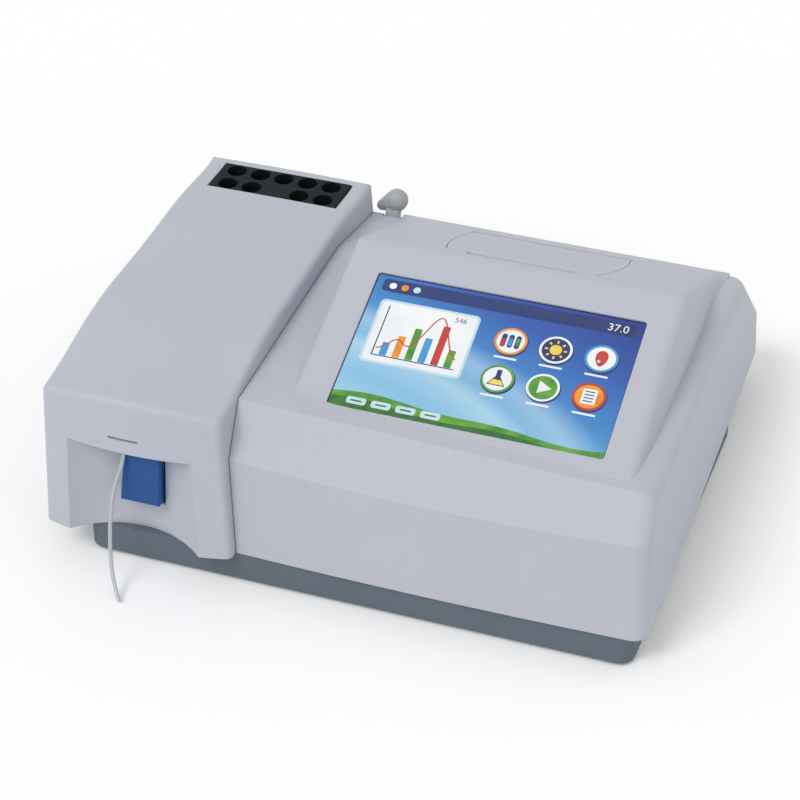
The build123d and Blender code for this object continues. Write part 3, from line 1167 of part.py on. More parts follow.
# ------------------------------------------------------------------ peristaltic pump
PUMP_TOP_Z = LEVER_PIVOT[1] - LEVER_HUB_R - LEVER_CLEAR
with BuildPart() as pump_body:
    block(PUMP_X, about(PUMP_Y, PUMP_W), (FLOOR_Z, PUMP_TOP_Z))
    bar(along_x(PUMP_X[0], PUMP_Y, PUMP_Z), PUMP_TRACK_R, PUMP_POCKET, mode=Mode.SUBTRACT)
    # room for the tube's two legs
    block((PUMP_X[0], ROTOR_X), about(PUMP_Y, 2 * PUMP_TRACK_R), (FLOOR_Z, PUMP_Z), mode=Mode.SUBTRACT)
    bar(along_x(ROTOR_X, PUMP_Y, PUMP_Z), ROTOR_SHAFT_R + RUN_FIT, PUMP_X[1] - ROTOR_X, mode=Mode.SUBTRACT)
    # ears of the thumb lever
    for x in (LEVER_X[0] - GAP - EAR_T, LEVER_X[1] + GAP):
        block((x, x + EAR_T), about(LEVER_PIVOT[0], 2 * LEVER_HUB_R),
              (PUMP_TOP_Z - EAR_T, LEVER_PIVOT[1] + LEVER_HUB_R))
        bar(along_x(x, *LEVER_PIVOT), LEVER_PIN_R, EAR_T, mode=Mode.SUBTRACT)
    block((LEVER_X[0] - GAP - EAR_T, LEVER_X[0]), about(LEVER_PIVOT[0], 2 * LEVER_HUB_R),
          (PUMP_TOP_Z - EAR_T, PUMP_TOP_Z))
pump_body.part.label = "pump_body"
export_step(pump_body.part, "parts/pump_body.step")

with BuildPart() as lever_pin:
    bar(along_x(LEVER_X[0] - GAP - EAR_T, *LEVER_PIVOT), LEVER_PIN_R,
        LEVER_X[1] - LEVER_X[0] + 2 * (GAP + EAR_T))
lever_pin.part.label = "lever_pin"
export_step(lever_pin.part, "parts/lever_pin.step")

head = Vector(*LEVER_HEAD)
tip = Vector(*LEVER_TIP)
reach = (tip - head).length
narrowing = (LEVER_HEAD_R - LEVER_TIP_R) / reach  # sine of the thumb piece's flank angle
flank = (1 - narrowing**2) ** 0.5
with BuildPart() as pump_clamp_lever:
    bar(along_x(LEVER_X[0], *LEVER_PIVOT), LEVER_HUB_R, LEVER_X[1] - LEVER_X[0])
    with BuildSketch(along_x(LEVER_ARM_X[0], 0, 0)):
        y0, z0 = LEVER_PIVOT
        Polygon((y0 - LEVER_ARM_T / 2, z0), (y0 + LEVER_ARM_T / 2, z0), (head.Y + LEVER_ARM_T / 2, head.Z),
                (head.Y - LEVER_ARM_T / 2, head.Z), align=None)
    extrude(amount=LEVER_ARM_X[1] - LEVER_ARM_X[0])
    # thumb piece: two balls and the cone that touches both
    with Locations(head):
        Sphere(LEVER_HEAD_R)
    with Locations(tip):
        Sphere(LEVER_TIP_R)
    lean = (tip - head).normalized()
    with Locations(Plane(origin=head + lean * LEVER_HEAD_R * narrowing, z_dir=lean)):
        Cone(LEVER_HEAD_R * flank, LEVER_TIP_R * flank, reach - (LEVER_HEAD_R - LEVER_TIP_R) * narrowing,
             align=(Align.CENTER, Align.CENTER, Align.MIN))
    bar(along_x(LEVER_X[0], *LEVER_PIVOT), LEVER_PIN_R + RUN_FIT, LEVER_X[1] - LEVER_X[0],
        mode=Mode.SUBTRACT)
pump_clamp_lever.part.label = "pump_clamp_lever"
export_step(pump_clamp_lever.part, "parts/pump_clamp_lever.step")

roller_places = ring(PUMP_Y, PUMP_Z, ROLLER_ORBIT, ROLLER_COUNT)
ROTOR_FACES = (ROTOR_X - GAP - ROTOR_T, PUMP_X[0] + GAP)
with BuildPart() as pump_rotor:
    for x in ROTOR_FACES:
        bar(along_x(x, PUMP_Y, PUMP_Z), ROTOR_R, ROTOR_T)
    bar(along_x(ROTOR_FACES[1], PUMP_Y, PUMP_Z), ROTOR_SLEEVE_R, ROTOR_FACES[0] - ROTOR_FACES[1])
    bar(along_x(ROTOR_FACES[1], PUMP_Y, PUMP_Z), ROTOR_SHAFT_R, PUMP_X[1] - ROTOR_FACES[1])
    for y, z in roller_places:
        bar(along_x(ROTOR_FACES[1], y, z), ROLLER_PIN_R, ROTOR_FACES[0] - ROTOR_FACES[1])
pump_rotor.part.label = "pump_rotor"
export_step(pump_rotor.part, "parts/pump_rotor.step")

for k, (y, z) in enumerate(roller_places):
    with BuildPart() as pump_roller:
        start = ROTOR_FACES[1] + ROTOR_T + GAP / 2
        bar(along_x(start, y, z), ROLLER_R, ROTOR_FACES[0] - GAP / 2 - start)
        bar(along_x(start, y, z), ROLLER_PIN_R + RUN_FIT, ROTOR_FACES[0] - GAP / 2 - start,
            mode=Mode.SUBTRACT)
    pump_roller.part.label = f"pump_roller_{k + 1}"
    export_step(pump_roller.part, f"parts/pump_roller_{k + 1}.step")

with BuildPart() as pump_tube:
    tube_x = (PUMP_X[0] + ROTOR_X) / 2
    with BuildLine(along_x(tube_x, PUMP_Y, PUMP_Z)):
        Line((-TUBE_BEND_R, FLOOR_Z + PUMP_TUBE_R - PUMP_Z), (-TUBE_BEND_R, 0))
        ThreePointArc((-TUBE_BEND_R, 0), (0, TUBE_BEND_R), (TUBE_BEND_R, 0))
        Line((TUBE_BEND_R, 0), (TUBE_BEND_R, FLOOR_Z + PUMP_TUBE_R - PUMP_Z))
    with BuildSketch(along_z(tube_x, PUMP_Y - TUBE_BEND_R, FLOOR_Z + PUMP_TUBE_R)):
        Circle(PUMP_TUBE_R)
        Circle(PUMP_TUBE_BORE_R, mode=Mode.SUBTRACT)
    sweep()
pump_tube.part.label = "pump_tube"
export_step(pump_tube.part, "parts/pump_tube.step")

with BuildPart() as pump_motor:
    bar(along_x(PUMP_X[1], PUMP_Y, PUMP_Z), PUMP_MOTOR_R, PUMP_MOTOR_LEN)
pump_motor.part.label = "pump_motor"
export_step(pump_motor.part, "parts/pump_motor.step")

# ------------------------------------------------------------------ electronics
board_holes = [
    (x, y)
    for x in (BOARD_X[0] + BOARD_SCREW_INSET, BOARD_X[1] - BOARD_SCREW_INSET)
    for y in (BOARD_Y[0] + BOARD_SCREW_INSET, BOARD_Y[1] - BOARD_SCREW_INSET)
]
with BuildPart() as standoffs:
    for x, y in board_holes:
        bar(along_z(x, y, TUB_Z), STANDOFF_R, STANDOFF_H)
        bar(along_z(x, y, TUB_Z + STANDOFF_H / 3), SCREW_R + SCREW_FIT, STANDOFF_H, mode=Mode.SUBTRACT)
standoffs.part.label = "standoffs"
export_step(standoffs.part, "parts/standoffs.step")

with BuildPart() as mainboard:
    block(BOARD_X, BOARD_Y, (STANDOFF_TOP_Z, STANDOFF_TOP_Z + BOARD_T))
    board_top = STANDOFF_TOP_Z + BOARD_T
    for x, y, width, depth, height in BOARD_PARTS:
        block(about(BOARD_X[0] + x, width), about(BOARD_Y[0] + y, depth), (board_top, board_top + height))
    for x, y in CAPACITOR_AT:
        bar(along_z(BOARD_X[0] + x, BOARD_Y[0] + y, board_top), *CAPACITOR)
    for x, y in board_holes:
        bar(along_z(x, y, STANDOFF_TOP_Z), SCREW_R + SCREW_FIT, BOARD_T, mode=Mode.SUBTRACT)
mainboard.part.label = "mainboard"
export_step(mainboard.part, "parts/mainboard.step")

with BuildPart() as power_supply:
    block(POWER_X, POWER_Y, (TUB_Z, TUB_Z + POWER_H))
    chamfer(power_supply.edges().filter_by(Axis.Z), POWER_CHAMFER)
power_supply.part.label = "power_supply"
export_step(power_supply.part, "parts/power_supply.step")

# ------------------------------------------------------------------ rear panel and what it carries
guard_holes = [
    (FAN_X + i * FAN_SCREW_PITCH / 2, CONNECTOR_Z + j * FAN_SCREW_PITCH / 2) for i in (-1, 1) for j in (-1, 1)
]
with BuildPart() as rear_panel:
    block((WINDOW_X[0] - PLATE_LAP, WINDOW_X[1] + PLATE_LAP), (BAY_Y, PANEL_Y),
          (WINDOW_Z[0] - PLATE_LAP, WINDOW_Z[1] + PLATE_LAP))
    bar(along_y(FAN_X, BAY_Y, CONNECTOR_Z), FAN_BORE_R, REAR_PLATE_T, mode=Mode.SUBTRACT)
    for x, z in guard_holes:
        bar(along_y(x, BAY_Y, z), SCREW_R, REAR_PLATE_T, mode=Mode.SUBTRACT)
    block(about(INLET_X, INLET_BODY[0]), (BAY_Y, PANEL_Y), about(CONNECTOR_Z, INLET_BODY[1]),
          mode=Mode.SUBTRACT)
    block(about(SWITCH_X, SWITCH_BEZEL[0] - PLATE_LAP), (BAY_Y, PANEL_Y),
          about(CONNECTOR_Z, SWITCH_BEZEL[1] - PLATE_LAP), mode=Mode.SUBTRACT)
    block(about(SERIAL_X, SERIAL_SHELL[0]), (BAY_Y, PANEL_Y), about(CONNECTOR_Z, SERIAL_SHELL[1]),
          mode=Mode.SUBTRACT)
    block(about(USB_X, USB_SOCKET[0] + 2 * USB_WALL), (BAY_Y, PANEL_Y),
          about(CONNECTOR_Z, USB_PITCH + USB_SOCKET[1] + 2 * USB_WALL), mode=Mode.SUBTRACT)
    bar(along_y(WASTE_X, BAY_Y, CONNECTOR_Z), WASTE_R, REAR_PLATE_T, mode=Mode.SUBTRACT)
rear_panel.part.label = "rear_panel"
export_step(rear_panel.part, "parts/rear_panel.step")

INLET_MOUTH_Y = PANEL_Y + INLET_FLANGE[2]
SOCKET_Y = INLET_MOUTH_Y - INLET_SOCKET[2]
with BuildPart() as power_inlet:
    block(about(INLET_X, INLET_FLANGE[0]), (PANEL_Y, INLET_MOUTH_Y), about(CONNECTOR_Z, INLET_FLANGE[1]))
    block(about(INLET_X, INLET_BODY[0]), (PANEL_Y - INLET_BODY[2], PANEL_Y),
          about(CONNECTOR_Z, INLET_BODY[1]))
    block(about(INLET_X, INLET_SOCKET[0]), (SOCKET_Y, INLET_MOUTH_Y), about(CONNECTOR_Z, INLET_SOCKET[1]),
          mode=Mode.SUBTRACT)
    for dx, dz in INLET_PINS:
        block(about(INLET_X + dx, INLET_PIN[0]), (SOCKET_Y, SOCKET_Y + INLET_PIN[2]),
              about(CONNECTOR_Z + dz, INLET_PIN[1]))
power_inlet.part.label = "power_inlet"
export_step(power_inlet.part, "parts/power_inlet.step")

SWITCH_PIN_Y = PANEL_Y + SWITCH_BEZEL[2] - ROCKER_R + ROCKER_SINK
with BuildPart() as switch_housing:
    block(about(SWITCH_X, SWITCH_BEZEL[0]), (PANEL_Y, PANEL_Y + SWITCH_BEZEL[2]),
          about(CONNECTOR_Z, SWITCH_BEZEL[1]))
    block(about(SWITCH_X, SWITCH_BEZEL[0] - PLATE_LAP), (PANEL_Y - SWITCH_BODY_T, PANEL_Y),
          about(CONNECTOR_Z, SWITCH_BEZEL[1] - PLATE_LAP))
    block(about(SWITCH_X, ROCKER[0] + 2 * ROCKER_GAP),
          (PANEL_Y - SWITCH_BODY_T + SWITCH_BACK_T, PANEL_Y + SWITCH_BEZEL[2]),
          about(CONNECTOR_Z, ROCKER[1] + 2 * ROCKER_GAP), mode=Mode.SUBTRACT)
    bar(along_x(SWITCH_X - ROCKER[0] / 2 - ROCKER_PIN_OUT, SWITCH_PIN_Y, CONNECTOR_Z), ROCKER_PIN_R + RUN_FIT,
        ROCKER[0] + 2 * ROCKER_PIN_OUT, mode=Mode.SUBTRACT)
switch_housing.part.label = "switch_housing"
export_step(switch_housing.part, "parts/switch_housing.step")

ROCKER_PLANE = Plane(origin=(SWITCH_X, SWITCH_PIN_Y, CONNECTOR_Z), x_dir=(1, 0, 0),
                     z_dir=(0, cos(radians(ROCKER_TILT)), sin(radians(ROCKER_TILT))))
with BuildPart() as power_switch:
    with BuildSketch(ROCKER_PLANE * Plane(origin=(-ROCKER[0] / 2, 0, 0), x_dir=(0, 1, 0), z_dir=(1, 0, 0))):
        with BuildLine():
            half = ROCKER[1] / 2 - GAP
            tip = (ROCKER_R**2 - half**2) ** 0.5
            left = (-half, tip)
            right = (half, tip)
            tail = half * ROCKER_TAIL[0]
            ThreePointArc(left, (0, tip - ROCKER_HOLLOW), right)
            Polyline(right, (tail, -ROCKER_TAIL[1]), (-tail, -ROCKER_TAIL[1]), left)
        make_face()
    extrude(amount=ROCKER[0])
    pivot_end = Plane(origin=(-ROCKER[0] / 2 - ROCKER_PIN_OUT, 0, 0), x_dir=(0, 1, 0), z_dir=(1, 0, 0))
    bar(ROCKER_PLANE * pivot_end, ROCKER_PIN_R, ROCKER[0] + 2 * ROCKER_PIN_OUT)
power_switch.part.label = "power_switch"
export_step(power_switch.part, "parts/power_switch.step")

with BuildPart() as serial_port:
    block(about(SERIAL_X, SERIAL_FLANGE[0]), (PANEL_Y, PANEL_Y + SERIAL_FLANGE[2]),
          about(CONNECTOR_Z, SERIAL_FLANGE[1]))
    block(about(SERIAL_X, SERIAL_SHELL[0]), (PANEL_Y - SERIAL_BODY_T, PANEL_Y + SERIAL_SHELL[2]),
          about(CONNECTOR_Z, SERIAL_SHELL[1]))
    block(about(SERIAL_X, SERIAL_SHELL[0] - 2 * SERIAL_WALL), (PANEL_Y, PANEL_Y + SERIAL_SHELL[2]),
          about(CONNECTOR_Z, SERIAL_SHELL[1] - 2 * SERIAL_WALL), mode=Mode.SUBTRACT)
    for side, count in ((1, 5), (-1, 4)):
        for k in range(count):
            x = SERIAL_X + SERIAL_PITCH[0] * (k - (count - 1) / 2)
            bar(along_y(x, PANEL_Y, CONNECTOR_Z + side * SERIAL_PITCH[1] / 2), *SERIAL_PIN)
    for side in (-1, 1):
        bar(along_y(SERIAL_X + side * SERIAL_NUT_PITCH / 2, PANEL_Y, CONNECTOR_Z), *SERIAL_NUT)
serial_port.part.label = "serial_port"
export_step(serial_port.part, "parts/serial_port.step")

with BuildPart() as usb_ports:
    block(about(USB_X, USB_SOCKET[0] + 2 * USB_WALL),
          (PANEL_Y - USB_SOCKET[2] - USB_WALL, PANEL_Y + USB_WALL),
          about(CONNECTOR_Z, USB_PITCH + USB_SOCKET[1] + 2 * USB_WALL))
    for side in (-1, 1):
        z = CONNECTOR_Z + side * USB_PITCH / 2
        block(about(USB_X, USB_SOCKET[0]), (PANEL_Y - USB_SOCKET[2], PANEL_Y + USB_WALL),
              about(z, USB_SOCKET[1]), mode=Mode.SUBTRACT)
        block(about(USB_X, USB_TONGUE[0]), (PANEL_Y - USB_SOCKET[2], PANEL_Y - USB_SOCKET[2] + USB_TONGUE[2]),
              (z + USB_SOCKET[1] / 2 - USB_TONGUE[1], z + USB_SOCKET[1] / 2))
usb_ports.part.label = "usb_ports"
export_step(usb_ports.part, "parts/usb_ports.step")

with BuildPart() as waste_fitting:
    bar(along_y(WASTE_X, BAY_Y - WASTE_IN, CONNECTOR_Z), WASTE_R, WASTE_IN + REAR_PLATE_T + WASTE_OUT)
    bar(along_y(WASTE_X, PANEL_Y, CONNECTOR_Z), WASTE_NUT_R, WASTE_NUT_T)
    for k in range(BARB_COUNT):
        with Locations(along_y(WASTE_X, PANEL_Y + WASTE_OUT - BARB[2] * (k + 1), CONNECTOR_Z)):
            Cone(BARB[0], WASTE_R, BARB[1], align=(Align.CENTER, Align.CENTER, Align.MIN))
    bar(along_y(WASTE_X, BAY_Y - WASTE_IN, CONNECTOR_Z), WASTE_BORE_R, WASTE_IN + REAR_PLATE_T + WASTE_OUT,
        mode=Mode.SUBTRACT)
waste_fitting.part.label = "waste_fitting"
export_step(waste_fitting.part, "parts/waste_fitting.step")

with BuildPart() as fan_frame:
    block(about(FAN_X, FAN_W), (FAN_FRONT_Y, BAY_Y), about(CONNECTOR_Z, FAN_W))
    fillet(fan_frame.edges().filter_by(Axis.Y), FAN_CORNER_R)
    bar(along_y(FAN_X, FAN_FRONT_Y, CONNECTOR_Z), FAN_BORE_R, FAN_T, mode=Mode.SUBTRACT)
    # spider that carries the axle
    bar(along_y(FAN_X, FAN_FRONT_Y, CONNECTOR_Z), FAN_HUB_R, FAN_STRUT_T)
    for turn in (0, 90):
        block(about(0, 2 * FAN_BORE_R + FAN_STRUT_T), about(0, FAN_STRUT_W), (0, FAN_STRUT_T),
              on=along_y(FAN_X, FAN_FRONT_Y, CONNECTOR_Z) * Rot(0, 0, turn + 45))
    bar(along_y(FAN_X, FAN_FRONT_Y, CONNECTOR_Z), FAN_AXLE_R, FAN_AXLE_LEN)
    for x, z in guard_holes:
        bar(along_y(x, FAN_FRONT_Y, z), SCREW_R, FAN_T, mode=Mode.SUBTRACT)
fan_frame.part.label = "fan_frame"
export_step(fan_frame.part, "parts/fan_frame.step")

ROTOR_Y = FAN_FRONT_Y + FAN_STRUT_T + GAP
ROTOR_DEPTH = FAN_T - FAN_STRUT_T - 2 * GAP
with BuildPart() as fan_rotor:
    bar(along_y(FAN_X, ROTOR_Y, CONNECTOR_Z), FAN_HUB_R, ROTOR_DEPTH)
    for k in range(FAN_BLADES):
        block((FAN_HUB_R - FAN_BLADE_T, FAN_BORE_R - FAN_TIP_GAP), about(0, FAN_BLADE_T),
              about(ROTOR_DEPTH / 2, ROTOR_DEPTH - FAN_BLADE_T),
              on=along_y(FAN_X, ROTOR_Y, CONNECTOR_Z) * Rot(0, 0, 360 * k / FAN_BLADES))
    bar(along_y(FAN_X, ROTOR_Y, CONNECTOR_Z), FAN_AXLE_R + RUN_FIT, ROTOR_DEPTH - FAN_HUB_WALL,
        mode=Mode.SUBTRACT)
fan_rotor.part.label = "fan_rotor"
export_step(fan_rotor.part, "parts/fan_rotor.step")

with BuildPart() as fan_guard:
    for ring in GUARD_RINGS:
        bar(along_y(FAN_X, PANEL_Y, CONNECTOR_Z), ring, GUARD_WIRE)
        bar(along_y(FAN_X, PANEL_Y, CONNECTOR_Z), ring - GUARD_WIRE, GUARD_WIRE, mode=Mode.SUBTRACT)
    for turn in (45, 135):
        block(about(0, FAN_SCREW_PITCH * 2**0.5), about(0, GUARD_WIRE), (0, GUARD_WIRE),
              on=along_y(FAN_X, PANEL_Y, CONNECTOR_Z) * Rot(0, 0, turn))
    for x, z in guard_holes:
        bar(along_y(x, PANEL_Y, z), SCREW_HEAD_R, GUARD_WIRE)
        bar(along_y(x, PANEL_Y, z), SCREW_R, GUARD_WIRE, mode=Mode.SUBTRACT)
fan_guard.part.label = "fan_guard"
export_step(fan_guard.part, "parts/fan_guard.step")

# ------------------------------------------------------------------ fasteners
with BuildPart() as machine_screws:
    # covers to the chassis plate, from below
    for x, y in MODULE_SCREWS + MAIN_REAR_SCREWS:
        bar(along_z(x, y, BODY_Z - SCREW_HEAD_H), SCREW_HEAD_R, SCREW_HEAD_H)
        bar(along_z(x, y, BODY_Z), SCREW_R, PLATE_T + SCREW_BITE)
    for x, y in MAIN_RIM_SCREWS:
        bar(along_z(x, y, FOOT_H + SCREW_SINK - SCREW_HEAD_H), SCREW_HEAD_R, SCREW_HEAD_H)
        bar(along_z(x, y, FOOT_H + SCREW_SINK), SCREW_R, FLOOR_Z - FOOT_H - SCREW_SINK + SCREW_BITE)
    # mainboard to its standoffs
    for x, y in board_holes:
        bar(along_z(x, y, STANDOFF_TOP_Z + BOARD_T), SCREW_HEAD_R, SCREW_HEAD_H)
        bar(along_z(x, y, TUB_Z + STANDOFF_H / 2), SCREW_R, STANDOFF_H / 2 + BOARD_T)
    # guard, rear panel and fan
    for x, z in guard_holes:
        bar(along_y(x, FAN_FRONT_Y, z), SCREW_R, PANEL_Y + GUARD_WIRE - FAN_FRONT_Y)
        bar(along_y(x, PANEL_Y + GUARD_WIRE, z), SCREW_HEAD_R, SCREW_HEAD_H)
machine_screws.part.label = "machine_screws"
export_step(machine_screws.part, "parts/machine_screws.step")
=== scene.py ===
"""Looks of a benchtop chemistry analyzer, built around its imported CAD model. Metres, +Z up, front to -Y."""

import json
import math
from math import cos, radians, sin

import bmesh
import bpy
from mathutils import Matrix, Vector


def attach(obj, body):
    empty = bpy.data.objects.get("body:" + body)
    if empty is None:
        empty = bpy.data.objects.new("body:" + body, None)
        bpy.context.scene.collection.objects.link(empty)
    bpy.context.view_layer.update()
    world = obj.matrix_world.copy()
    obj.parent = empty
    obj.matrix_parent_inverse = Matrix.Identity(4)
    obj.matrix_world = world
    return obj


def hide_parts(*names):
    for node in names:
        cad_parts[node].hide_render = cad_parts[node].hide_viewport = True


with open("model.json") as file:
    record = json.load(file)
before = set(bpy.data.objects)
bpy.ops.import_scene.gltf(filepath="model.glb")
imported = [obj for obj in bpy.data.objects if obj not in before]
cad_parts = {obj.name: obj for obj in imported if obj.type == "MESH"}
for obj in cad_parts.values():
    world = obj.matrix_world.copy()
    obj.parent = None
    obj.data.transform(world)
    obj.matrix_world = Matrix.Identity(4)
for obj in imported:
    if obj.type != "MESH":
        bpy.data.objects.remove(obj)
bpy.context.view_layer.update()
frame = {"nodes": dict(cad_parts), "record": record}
nodes = frame["nodes"]
MM = 0.001

# ------------------------------------------------------------------ camera
CAMERA_AT = Vector((0.34612, -1.05872, 0.87427))
LOOK_AT = Vector((-0.02787, 0.04809, 0.0025))
LENS = 106.6  # mm
SENSOR = 36  # mm

camera_data = bpy.data.cameras.new("camera")
camera_data.lens = LENS
camera_data.sensor_width = SENSOR
camera_data.clip_end = 20
camera = bpy.data.objects.new("camera", camera_data)
bpy.context.scene.collection.objects.link(camera)
camera.location = CAMERA_AT
camera.rotation_euler = (LOOK_AT - CAMERA_AT).to_track_quat("-Z", "Y").to_euler()
bpy.context.scene.camera = camera

# ------------------------------------------------------------------ light and floor
scene = bpy.context.scene
scene.view_settings.view_transform = "Standard"

WORLD_COLOR = (0.985, 0.99, 1, 1)
WORLD_LEVEL = 0.645  # light of the white surroundings
SUNS = (  # name, level, angle in degrees, direction the light travels
    ("key", 1.15, 25, (0.30, 0.55, -0.78)),
    ("fill", 0.12, 60, (-0.80, 0.25, -0.55)),
)
FLOOR = 6.0  # half the side of the floor
FLOOR_COLOR = (0.93, 0.93, 0.93, 1)
FLOOR_GLOW = 0.12


def nodes_of(owner):
    """The node tree of a new material or world, emptied, and a function that adds a node."""
    owner.use_nodes = True
    tree = owner.node_tree
    tree.nodes.clear()

    def add(kind, **values):
        node = tree.nodes.new(kind)
        for name, value in values.items():
            if name in node.inputs:
                node.inputs[name].default_value = value
            else:
                setattr(node, name, value)
        return node

    return tree, add


def seen_directly(tree, add):
    """1 for rays from the camera, from a mirror or through glass."""
    path = add("ShaderNodeLightPath")
    first = add("ShaderNodeMath", operation="MAXIMUM")
    tree.links.new(path.outputs["Is Camera Ray"], first.inputs[0])
    tree.links.new(path.outputs["Is Glossy Ray"], first.inputs[1])
    both = add("ShaderNodeMath", operation="MAXIMUM")
    tree.links.new(first.outputs[0], both.inputs[0])
    tree.links.new(path.outputs["Is Transmission Ray"], both.inputs[1])
    return both.outputs[0]


world = bpy.data.worlds.new("surroundings")
scene.world = world
tree, add = nodes_of(world)
shown = add("ShaderNodeBackground", Color=(1, 1, 1, 1), Strength=1.0)
lit = add("ShaderNodeBackground", Color=WORLD_COLOR, Strength=WORLD_LEVEL)
mix = add("ShaderNodeMixShader")
output = add("ShaderNodeOutputWorld")
tree.links.new(seen_directly(tree, add), mix.inputs[0])
tree.links.new(lit.outputs[0], mix.inputs[1])
tree.links.new(shown.outputs[0], mix.inputs[2])
tree.links.new(mix.outputs[0], output.inputs["Surface"])

for name, level, angle, direction in SUNS:
    sun_data = bpy.data.lights.new(name, "SUN")
    sun_data.energy = level
    sun_data.angle = radians(angle)
    sun = bpy.data.objects.new(name, sun_data)
    scene.collection.objects.link(sun)
    sun.rotation_euler = Vector(direction).to_track_quat("-Z", "Y").to_euler()

floor_mesh = bpy.data.meshes.new("floor")
floor_mesh.from_pydata([(-FLOOR, -FLOOR, 0), (FLOOR, -FLOOR, 0), (FLOOR, FLOOR, 0), (-FLOOR, FLOOR, 0)], [],
                       [(0, 1, 2, 3)])
floor = bpy.data.objects.new("floor", floor_mesh)
scene.collection.objects.link(floor)
floor_paint = bpy.data.materials.new("floor_paint")
tree, add = nodes_of(floor_paint)
diffuse = add("ShaderNodeBsdfDiffuse", Color=FLOOR_COLOR)
glow = add("ShaderNodeEmission", Color=(1, 1, 1, 1))
level = add("ShaderNodeMath", operation="MULTIPLY")
level.inputs[1].default_value = FLOOR_GLOW
both = add("ShaderNodeAddShader")
output = add("ShaderNodeOutputMaterial")
tree.links.new(seen_directly(tree, add), level.inputs[0])
tree.links.new(level.outputs[0], glow.inputs["Strength"])
tree.links.new(diffuse.outputs[0], both.inputs[0])
tree.links.new(glow.outputs[0], both.inputs[1])
tree.links.new(both.outputs[0], output.inputs["Surface"])
floor_mesh.materials.append(floor_paint)


# ------------------------------------------------------------------ materials
GRAIN_DEPTH = 0.0002


def srgb(r, g, b):
    """A linear colour from 0-255 display values."""
    def linear(v):
        v = v / 255
        return v / 12.92 if v <= 0.04045 else ((v + 0.055) / 1.055) ** 2.4
    return (linear(r), linear(g), linear(b), 1)


def set_stops(node, stops):
    """Gives a colour ramp node its stops: position and colour."""
    ramp = node.color_ramp
    while len(ramp.elements) < len(stops):
        ramp.elements.new(0.5)
    for element, (position, color) in zip(ramp.elements, stops):
        element.position = position
        element.color = color


def finish_of(name, color, roughness, metallic=0.0, grain=0.0, grain_size=0.0006, stretch=(1, 1, 1),
              tint=0.03, cloud_size=0.05, rough_swing=0.05, edge=0.0, sockets=None):
    """A principled material with clouds in its colour, a swing in its roughness and a fine grain as bump."""
    paint = bpy.data.materials.new(name)
    tree, add = nodes_of(paint)
    links = tree.links
    shader = add("ShaderNodeBsdfPrincipled", Metallic=metallic)
    for socket, value in (sockets or {}).items():
        shader.inputs[socket].default_value = value
    output = add("ShaderNodeOutputMaterial")
    links.new(shader.outputs[0], output.inputs["Surface"])
    place = add("ShaderNodeTexCoord")
    cloud = add("ShaderNodeTexNoise", Scale=1 / cloud_size, Detail=4.0, Roughness=0.6)
    links.new(place.outputs["Object"], cloud.inputs["Vector"])
    low = tuple(c * (1 - tint) for c in color[:3]) + (1,)
    high = tuple(min(1, c * (1 + tint)) for c in color[:3]) + (1,)
    ramp = add("ShaderNodeValToRGB")
    set_stops(ramp, ((0.35, low), (0.65, high)))
    links.new(cloud.outputs["Fac"], ramp.inputs["Fac"])
    links.new(ramp.outputs["Color"], shader.inputs["Base Color"])
    swing = add("ShaderNodeMapRange")
    swing.inputs["To Min"].default_value = max(0.0, roughness - rough_swing)
    swing.inputs["To Max"].default_value = min(1.0, roughness + rough_swing)
    links.new(cloud.outputs["Fac"], swing.inputs["Value"])
    links.new(swing.outputs["Result"], shader.inputs["Roughness"])
    normal = None
    if edge:
        round_edges = add("ShaderNodeBevel", Radius=edge, samples=4)
        normal = round_edges.outputs["Normal"]
    if grain:
        turn = add("ShaderNodeMapping")
        turn.inputs["Scale"].default_value = stretch
        speckle = add("ShaderNodeTexNoise", Scale=1 / grain_size, Detail=2.0, Roughness=0.5)
        bump = add("ShaderNodeBump", Strength=grain, Distance=GRAIN_DEPTH)
        links.new(place.outputs["Object"], turn.inputs["Vector"])
        links.new(turn.outputs["Vector"], speckle.inputs["Vector"])
        links.new(speckle.outputs["Fac"], bump.inputs["Height"])
        if normal:
            links.new(normal, bump.inputs["Normal"])
        normal = bump.outputs["Normal"]
    if normal:
        links.new(normal, shader.inputs["Normal"])
    return paint


